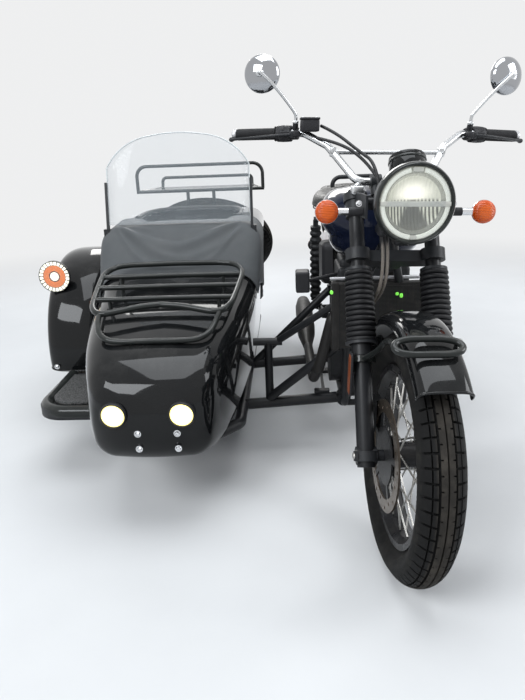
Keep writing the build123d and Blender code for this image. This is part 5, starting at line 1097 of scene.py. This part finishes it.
# Brake hoses: each one smooth curve on the route of its solid
hoses = {
    "brakeHoseOuter": [(-190, 466, 1160), (-150, 430, 1140), (-96, 370, 1092), (-58, 272, 1056), (-44, 216, 860),
                       (-47, 186, 750), (-62, 222, 690), (-96, 226, 630), (-100, 178, 540), (-80, 140, 443)],
    "brakeHoseInner": [(-204, 446, 1126), (-140, 408, 1112), (-84, 340, 1070), (-42, 284, 1006), (-38, 266, 930),
                       (-30, 214, 846), (-34, 192, 750), (-50, 234, 686), (-104, 240, 636), (-112, 180, 540),
                       (-93, 152, 443)],
}
for name, route in hoses.items():
    line = bpy.data.curves.new(name, "CURVE")
    line.dimensions, line.use_fill_caps = "3D", True
    line.bevel_depth, line.bevel_resolution, line.resolution_u = 0.0045, 5, 16
    spline = line.splines.new("NURBS")
    spline.points.add(len(route) - 1)
    spline.points.foreach_set("co", np.column_stack([placed(route, True), np.ones(len(route))]).ravel())
    spline.order_u, spline.use_endpoint_u = 3, True
    line.materials.append(finishes["hoseSleeve"])
    hose = bpy.data.objects.new(name, line)
    scene.collection.objects.link(hose)
    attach(hose, "steering")
    if name == "brakeHoseOuter":
        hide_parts("brake_hoses")
print("front end done")

# Driving lamps: finned black housing and lit face
fog = {"x": 98.0, "y": 150.0, "z": 408.0, "fins": 5, "face": [(42, 34), (45, 30), (47.5, 18), (48, 0)],
       "rim": [(36, 30), (36, 38.5), (44, 38.5), (47.5, 36), (47.5, 34), (42, 33), (36, 30)],
       "tints": [(0, (1, 0.99, 0.9)), (0.022, (1.0, 0.95, 0.62)), (0.029, (0.95, 0.80, 0.28))]}
finned = [(-10, 0), (-8, 22), (2, 28)]
for k in range(fog["fins"]):
    finned += [(6 + 6 * k, 31), (6 + 6 * k, 38), (8.5 + 6 * k, 38), (9 + 6 * k, 31)]
housings, faces, centres = [], [], []
for side in (-1, 1):
    at = (hullX + side * fog["x"], fog["y"], fog["z"])
    housings += turned(at, forward, finned, fog["rim"], count=48)
    housings.append(tube([(at[0], y, at[2]) for y in (158, 196)], 9, 16))
    faces += turned(at, forward, fog["face"], count=48)
    centres.append(placed((at[0], fog["y"] - 47, at[2])))
meshPiece("drivingLampHousings", housings, "plasticBlack", "chassis", 35, "fog_lamps", closed=False)
meshPiece("drivingLampFaces", faces, lampFace("drivingLampFace", centres, fog["tints"], 2.4), "chassis", 35, None,
          closed=False)

# Mudguard lamp: ring of white segments round an amber ring and a white eye; red lamp behind
guardLamp = {"at": (sidecarX - 64.0, 948.0, 650.0), "segments": 24,
             "segment": [(4, 46.5), (8, 47.5), (8, 60), (4, 61)],
             "bowl": [(-90, 0), (-90, 12), (-60, 14), (-34, 30), (-20, 57), (-6, 63.5), (6, 63.5), (9, 63), (9, 62),
                      (4, 61.5), (3, 0)],
             "eye": [(3, 0), (7, 0.1), (8, 8), (7, 16), (3, 18)],
             "ring": [(3, 22), (7.5, 24), (7.5, 43), (3, 45), (3, 22)],
             "glass": [(9, 62), (11, 44), (12.3, 20), (12.6, 0)]}
pitch = 2 * math.pi / guardLamp["segments"]
segments = [(capped(lathe(guardLamp["segment"], guardLamp["at"], forward, (0, 0, 1), 5,
                          (k * pitch, (k + 0.68) * pitch))), False, True) for k in range(guardLamp["segments"])]
bowl, eye, ring, glass = [turned(guardLamp["at"], forward, guardLamp[k], count=count)
                          for k, count in (("bowl", 64), ("eye", 32), ("ring", 64), ("glass", 64))]
meshPiece("mudguardLampBowl", bowl, "plasticBlack", "chassis", 35, "sidecar_lamps", closed=False)
meshPiece("mudguardLampSegments", segments + eye, "segmentWhite", "chassis", 40, None, closed=False)
meshPiece("mudguardLampRing", ring, "amberRing", "chassis", 40)
meshPiece("mudguardLampGlass", glass, "lensClear", "chassis", 60, None, closed=False)
bowl, lens = turned((sidecarX - 44.0, 1612.0, 560.0), forward,
                    [(60, 0), (60, 9), (22, 14), (8, 34), (-6, 35), (-6, 31)],
                    [(-5, 32), (-10, 28), (-14, 14), (-15, 0)])
meshPiece("sidecarTailBowl", [bowl], "plasticBlack", "chassis", 35, closed=False)
meshPiece("sidecarTailLens", [lens], "redLens", "chassis", 50, closed=False)

# Windscreen: clear sheet; its cut edge is a pale tube, a painted highlight
screen = {"foot": (878.0, 848.0), "tilt": math.radians(12), "half": 270.0, "straight": 218.0, "high": 340.0}


def arcBy(a, b, c, count=24):
    # the circle through three points, from the first to the last
    (ax, ay), (bx, by), (cx, cy) = a, b, c
    d = 2 * (ax * (by - cy) + bx * (cy - ay) + cx * (ay - by))
    ux = ((ax**2 + ay**2) * (by - cy) + (bx**2 + by**2) * (cy - ay) + (cx**2 + cy**2) * (ay - by)) / d
    uy = ((ax**2 + ay**2) * (cx - bx) + (bx**2 + by**2) * (ax - cx) + (cx**2 + cy**2) * (bx - ax)) / d
    first, last = math.atan2(ay - uy, ax - ux), math.atan2(cy - uy, cx - ux)
    turn = (last - first + math.pi) % (2 * math.pi) - math.pi
    t = first + turn * np.linspace(0, 1, count)
    r = math.hypot(ax - ux, ay - uy)
    return np.stack([ux + r * np.cos(t), uy + r * np.sin(t)], -1)


half, brow = screen["half"], screen["half"] - 170
shoulder = arcBy((half, screen["straight"]), (half - 62, screen["high"] - 50), (brow, screen["high"] - 9))
top = arcBy((brow, screen["high"] - 9), (0, screen["high"]), (-brow, screen["high"] - 9))
rimLine = np.concatenate([[(half, 6)], shoulder, top[1:-1], shoulder[::-1] * (-1, 1), [(-half, 6)]])
footY, footZ = screen["foot"]
rimPath = np.stack([hullX + rimLine[:, 0], footY + rimLine[:, 1] * math.sin(screen["tilt"]),
                    footZ + rimLine[:, 1] * math.cos(screen["tilt"])], -1)
# the edge tube's pale colour is a painted highlight
meshPiece("windscreenEdge", [tube(rimPath, 2.3, 10)], "screenEdgeHighlight", "chassis", 60, None)
middle = rimPath.mean(0)
sheetRim = np.concatenate([rimPath, rimPath[-1] + np.linspace(0.1, 0.9, 9)[:, None] * (rimPath[0] - rimPath[-1])])
sheetGrid = middle + (sheetRim - middle)[:, None] * np.linspace(0, 0.999, 8)[None, :, None]
glassSheet = meshPiece("windscreenSheet", [(sheetGrid, True, False)], "screenClear", "chassis", 60, "windscreen",
                       closed=False)
thicken(glassSheet, 0.003)

# Nose rack: rounded loop with a dropped front bar, three cross bars, a hoop below it and its feet
rack = {"loop": [(0, 424, 650), (66, 412, 647), (128, 392, 640), (170, 380, 636), (200, 388, 638), (222, 424, 648),
                 (232, 484, 662), (240, 560, 680), (246, 640, 700), (238, 684, 712), (212, 718, 721), (172, 732, 724),
                 (120, 736, 725), (0, 738, 726)],
        "hoop": [(0, 268, 578), (100, 268, 578), (142, 276, 583), (170, 300, 597), (184, 340, 618), (190, 382, 633)],
        "bars": ((472, 659, 228), (556, 680, 238), (640, 700, 244)), "feet": ((472, 659), (640, 700))}
half = curveThrough(rack["hoop"], 60)
rackLines = [(np.concatenate([half[::-1] * (-1, 1, 1), half[1:]]), 9.0, 18)]
rackLines += [([(-h, y, z), (0, y, z + 1), (h, y, z)], 8.5, 18) for y, z, h in rack["bars"]]
rackLines += [([(side * 180, y, z), (side * 180, y + 4, z - 60)], 7, 14) for side in (-1, 1) for y, z in rack["feet"]]
rackParts = [tube(np.array(line) + (hullX, 0, 0), r, count) for line, r, count in rackLines]
loop = tube(mirrored(curveThrough(rack["loop"], 110)) + (hullX, 0, 0), 10.0, 18, caps=False)[0]
meshPiece("noseRackTubes", [(loop, True, True)] + rackParts, "smoothBlack", "chassis", 60, "nose_rack")

# Step: thick rolled edge round its plate, gritty mat on it
stepEdge = arcBy((sidecarX - 17, 560), (sidecarX + 9, 482), (sidecarX + 75, 450), 20)
stepLine = np.concatenate([[(sidecarX - 17, 812)], stepEdge, [(sidecarX + 170, 450)]]) + (18, 17)
meshPiece("stepRolledEdge", [tube(np.column_stack([stepLine, np.full(len(stepLine), 263.0)]), 24, 24)],
          "smoothBlack", "chassis", 60)
matRim = np.concatenate([stepLine, [(sidecarX + 195, 640), (sidecarX + 195, 823)]])
matMiddle = np.array([sidecarX + 95, 650])
matRim = np.column_stack([matMiddle + (matRim - matMiddle) * 0.80, np.full(len(matRim), 277.0)])
matMiddle = np.append(matMiddle, 277.5)
matGrid = matMiddle + (matRim - matMiddle)[:, None] * np.linspace(0.999, 0.01, 9)[None, :, None]
f = Finish("stepMat")
grit = f.fade(f.noise(330, 3, 0.7), 0.42, 0.62)
gritty = f.surface(f.blend(grit, (0.028, 0.028, 0.029), (0.15, 0.15, 0.145)), f.noise(90, 2) * 0.1 + 0.6,
                   f.bump(grit, 0.0008, 0.8), specular=0.25)
mat = meshPiece("stepMat", [(matGrid, True, False)], gritty, "chassis", 60, closed=False)
thicken(mat, 0.012)

# Bolts and small fittings
fittings = {
    # name: finish, body, [(place, axis, radius)]
    "noseBolts": ("chrome", "chassis", [((hullX + dx, y, z), (0, -1, 0.1), 7.5)
                                        for dx in (-33, 81) for y, z in ((109.0, 350), (109.5, 302))]),
    "mudguardBolt": ("chrome", "chassis", [((sidecarX - 70, 848, 296), (0, -1, -0.1), 8)]),
    "coverClip": ("chrome", "chassis", [((hullX + 238, 731, 683), (0.5, -0.7, 0.5), 9)]),
    "caliperBolts": ("bareSteel", "steering",
                     [((-97, y, z), (-1, 0, 0), 6) for y, z in ((100, 372), (100, 424), (140, 398))]),
    "axleNuts": ("bareSteel", "steering", [((side * 131, 0, wheelR), (side, 0, 0), 11) for side in (-1, 1)]),
}
for name, (finish, body, table) in fittings.items():
    meshPiece(name, [bolt(at, axis, r, r * 0.8) for at, axis, r in table], finish, body, 30)

# Radiator: three small spots that glow green in front of it, its fins and the rod along its top
glows = [(-153, 674, 10, 7), (47, 664, 5, 5), (60, 658, 5, 7)]
meshPiece("greenGlowSpots", [pebble((x, 428, z), (h, 4, v), 3) for x, z, h, v in glows], "greenSpotGlow", "chassis", 60)
meshPiece("radiatorFins", [pebble((0, 429.4, 593), (137, 1.4, 98), 12)], "radiatorCore", "chassis", 60)
meshPiece("radiatorRod", [tube([(-162, 440, 714), (162, 440, 714)], 5.8, 20)], "castAlloy", "chassis", 60)

# Rear lamps: red centre lens and two amber side lenses set in the black housings of their solid
around, r = math.radians(40), guards["rearGuard"]["r"]
tailY, tailZ = wheelBase + r * math.cos(around), wheelR + r * math.sin(around) + 24
lens = turned((0, tailY - 4, tailZ), backwards, [(46, 44.3), (52.5, 44.6), (58, 37), (61, 30), (63, 0)])
meshPiece("tailLens", lens, "redLens", "chassis", 50, closed=False)
lenses = []
for side in (-1, 1):
    lenses += turned((side * 150, tailY + 14, tailZ), backwards, [(8, 30.3), (12.5, 30.5), (18.6, 22.5), (20.8, 0)],
                     count=40)
meshPiece("rearIndicatorLenses", lenses, "rearAmber", "chassis", 50, closed=False)
print("sidecar fittings done")

# Carried-over solids and their finishes
solidFinish = {
    "glossBlack": ["boot_lid"],
    "satinBlack": ["screen_rails", "sidecar_step", "fork_yokes"],
    "smoothBlack": ["rear_rack"],
    "frameBlack": ["main_frame", "swing_arm", "sidecar_chassis", "sidecar_struts", "sidecar_suspension", "fork_legs",
                   "foot_controls"],
    "plasticBlack": ["side_covers_and_air_box", "rear_lamps"],
    "engineBlack": ["engine", "front_caliper", "rear_spring_units"],
    "bareSteel": ["drive_chain"],
    "barChrome": ["handlebar"],
    "exhaustBlack": ["exhausts", "radiator"],
    "plateWhite": ["number_plate"],
    "front_rim": ["front_rim"], "rear_rim": ["rear_rim"], "sidecar_rim": ["sidecar_rim"], "spare_rim": ["spare_rim"],
    "front_disc": ["front_brake_disc"], "rear_disc": ["rear_disc_and_sprocket"],
    "sidecar_disc": ["sidecar_brake_disc"],
}
for finish, names in solidFinish.items():
    for name in names:
        nodes[name].data.materials.clear()
        nodes[name].data.materials.append(finishes[finish])
print("solids finished:", sum(map(len, solidFinish.values())))

# Stage: pale floor that turns to plain background away from the outfit, soft lamps, camera
floorSize, clearFrom, clearTo, backdrop = 60.0, 2.6, 6.0, (0.86, 0.865, 0.87, 1)


def seenDirectly(f):
    # 1 for the camera's own rays and for those that are mirrored or pass through glass
    rays = [f.add("ShaderNodeLightPath", output=f"Is {kind} Ray") for kind in ("Camera", "Glossy", "Transmission")]
    return f.add("ShaderNodeClamp", None, {0: rays[0] + rays[1] + rays[2]})


fx, fy = np.meshgrid(np.linspace(-1, 1, 9), np.linspace(-1, 1, 9), indexing="ij")
floorMesh = bpy.data.meshes.new("floor")
floorMesh.from_pydata((np.stack([fx, fy, fx * 0], -1).reshape(-1, 3) * floorSize).tolist(), [],
                      gridFaces(9, 9, False, False).tolist())
floorPiece = bpy.data.objects.new("floor", floorMesh)
scene.collection.objects.link(floorPiece)
f = Finish("floorPale")
tone = f.blend(f.noise(3, 4), (0.66, 0.66, 0.655), (0.72, 0.72, 0.715))
lit = f.add("ShaderNodeBsdfDiffuse", None, {"Color": tone, "Roughness": 1.0})
plain = f.add("ShaderNodeEmission", None, {"Color": backdrop, "Strength": 1.0})
mixed = f.fade(f.length(f.coords), clearFrom, clearTo) * seenDirectly(f)
floorMesh.materials.append(f.shown(f.add("ShaderNodeMixShader", None, {0: mixed, 1: lit, 2: plain})))

f = Finish("studio", bpy.data.worlds.new("studio"))
fill = f.add("ShaderNodeBackground", None, {"Color": (0.80, 0.86, 0.95, 1), "Strength": 0.42})
white = f.add("ShaderNodeBackground", None, {"Color": backdrop, "Strength": 1.0})
scene.world = f.shown(f.add("ShaderNodeMixShader", None, {0: seenDirectly(f), 1: fill, 2: white}), "World")

lamps = [
    # name, place, aimed at, size, watts, colour
    ("keyPanel", (-2.6, -3.6, 3.6), (-0.1, 0, 0.5), (2.6, 1.8), 150, (0.93, 0.965, 1.0)),
    ("skyPanel", (0.2, -0.6, 4.2), (0, 0, 0), (3.4, 2.6), 120, (0.92, 0.96, 1.0)),
    ("sidePanel", (3.6, -1.2, 2.2), (0.2, 0, 0.5), (1.6, 2.2), 70, (0.95, 0.97, 1.0)),
    ("backPanel", (-0.6, 3.8, 3.0), (0, 0, 0.6), (2.6, 1.4), 80, (1.0, 0.99, 0.97)),
]
for name, at, to, size, watts, colour in lamps:
    light = bpy.data.lights.new(name, "AREA")
    light.shape, light.size, light.size_y, light.energy, light.color = "RECTANGLE", size[0], size[1], watts, colour
    lamp = bpy.data.objects.new(name, light)
    lamp.location = at
    lamp.rotation_euler = (Vector(to) - Vector(at)).to_track_quat("-Z", "Y").to_euler()
    scene.collection.objects.link(lamp)

# The camera that was solved from the photograph, whose focal length is in pixels of a picture 700 high
view = {"at": np.array([-294.0, -1426.0, 1107.0]), "pitch": 18.44, "yaw": -2.72, "roll": -2.19, "focal": 600.0,
        "high": 700, "sensor": 36.0}
pitch, yaw, roll = (math.radians(view[k]) for k in ("pitch", "yaw", "roll"))
ahead = np.array([math.sin(yaw) * math.cos(pitch), math.cos(yaw) * math.cos(pitch), -math.sin(pitch)])
right = np.array([math.cos(yaw), -math.sin(yaw), 0])
above = np.cross(right, ahead)
rolledRight = right * math.cos(roll) + above * math.sin(roll)
rolledUp = above * math.cos(roll) - right * math.sin(roll)
lens = bpy.data.cameras.new("camera")
lens.sensor_width, lens.lens = view["sensor"], view["focal"] / view["high"] * view["sensor"]
lens.clip_start, lens.clip_end = 0.05, 200
camera = bpy.data.objects.new("camera", lens)
camera.matrix_world = Matrix([[rolledRight[k], rolledUp[k], -ahead[k], placed(view["at"])[k]] for k in range(3)] + [
    [0, 0, 0, 1]])
scene.collection.objects.link(camera)
scene.camera = camera
scene.view_settings.view_transform = "Standard"
print("stage, lamps and camera done")
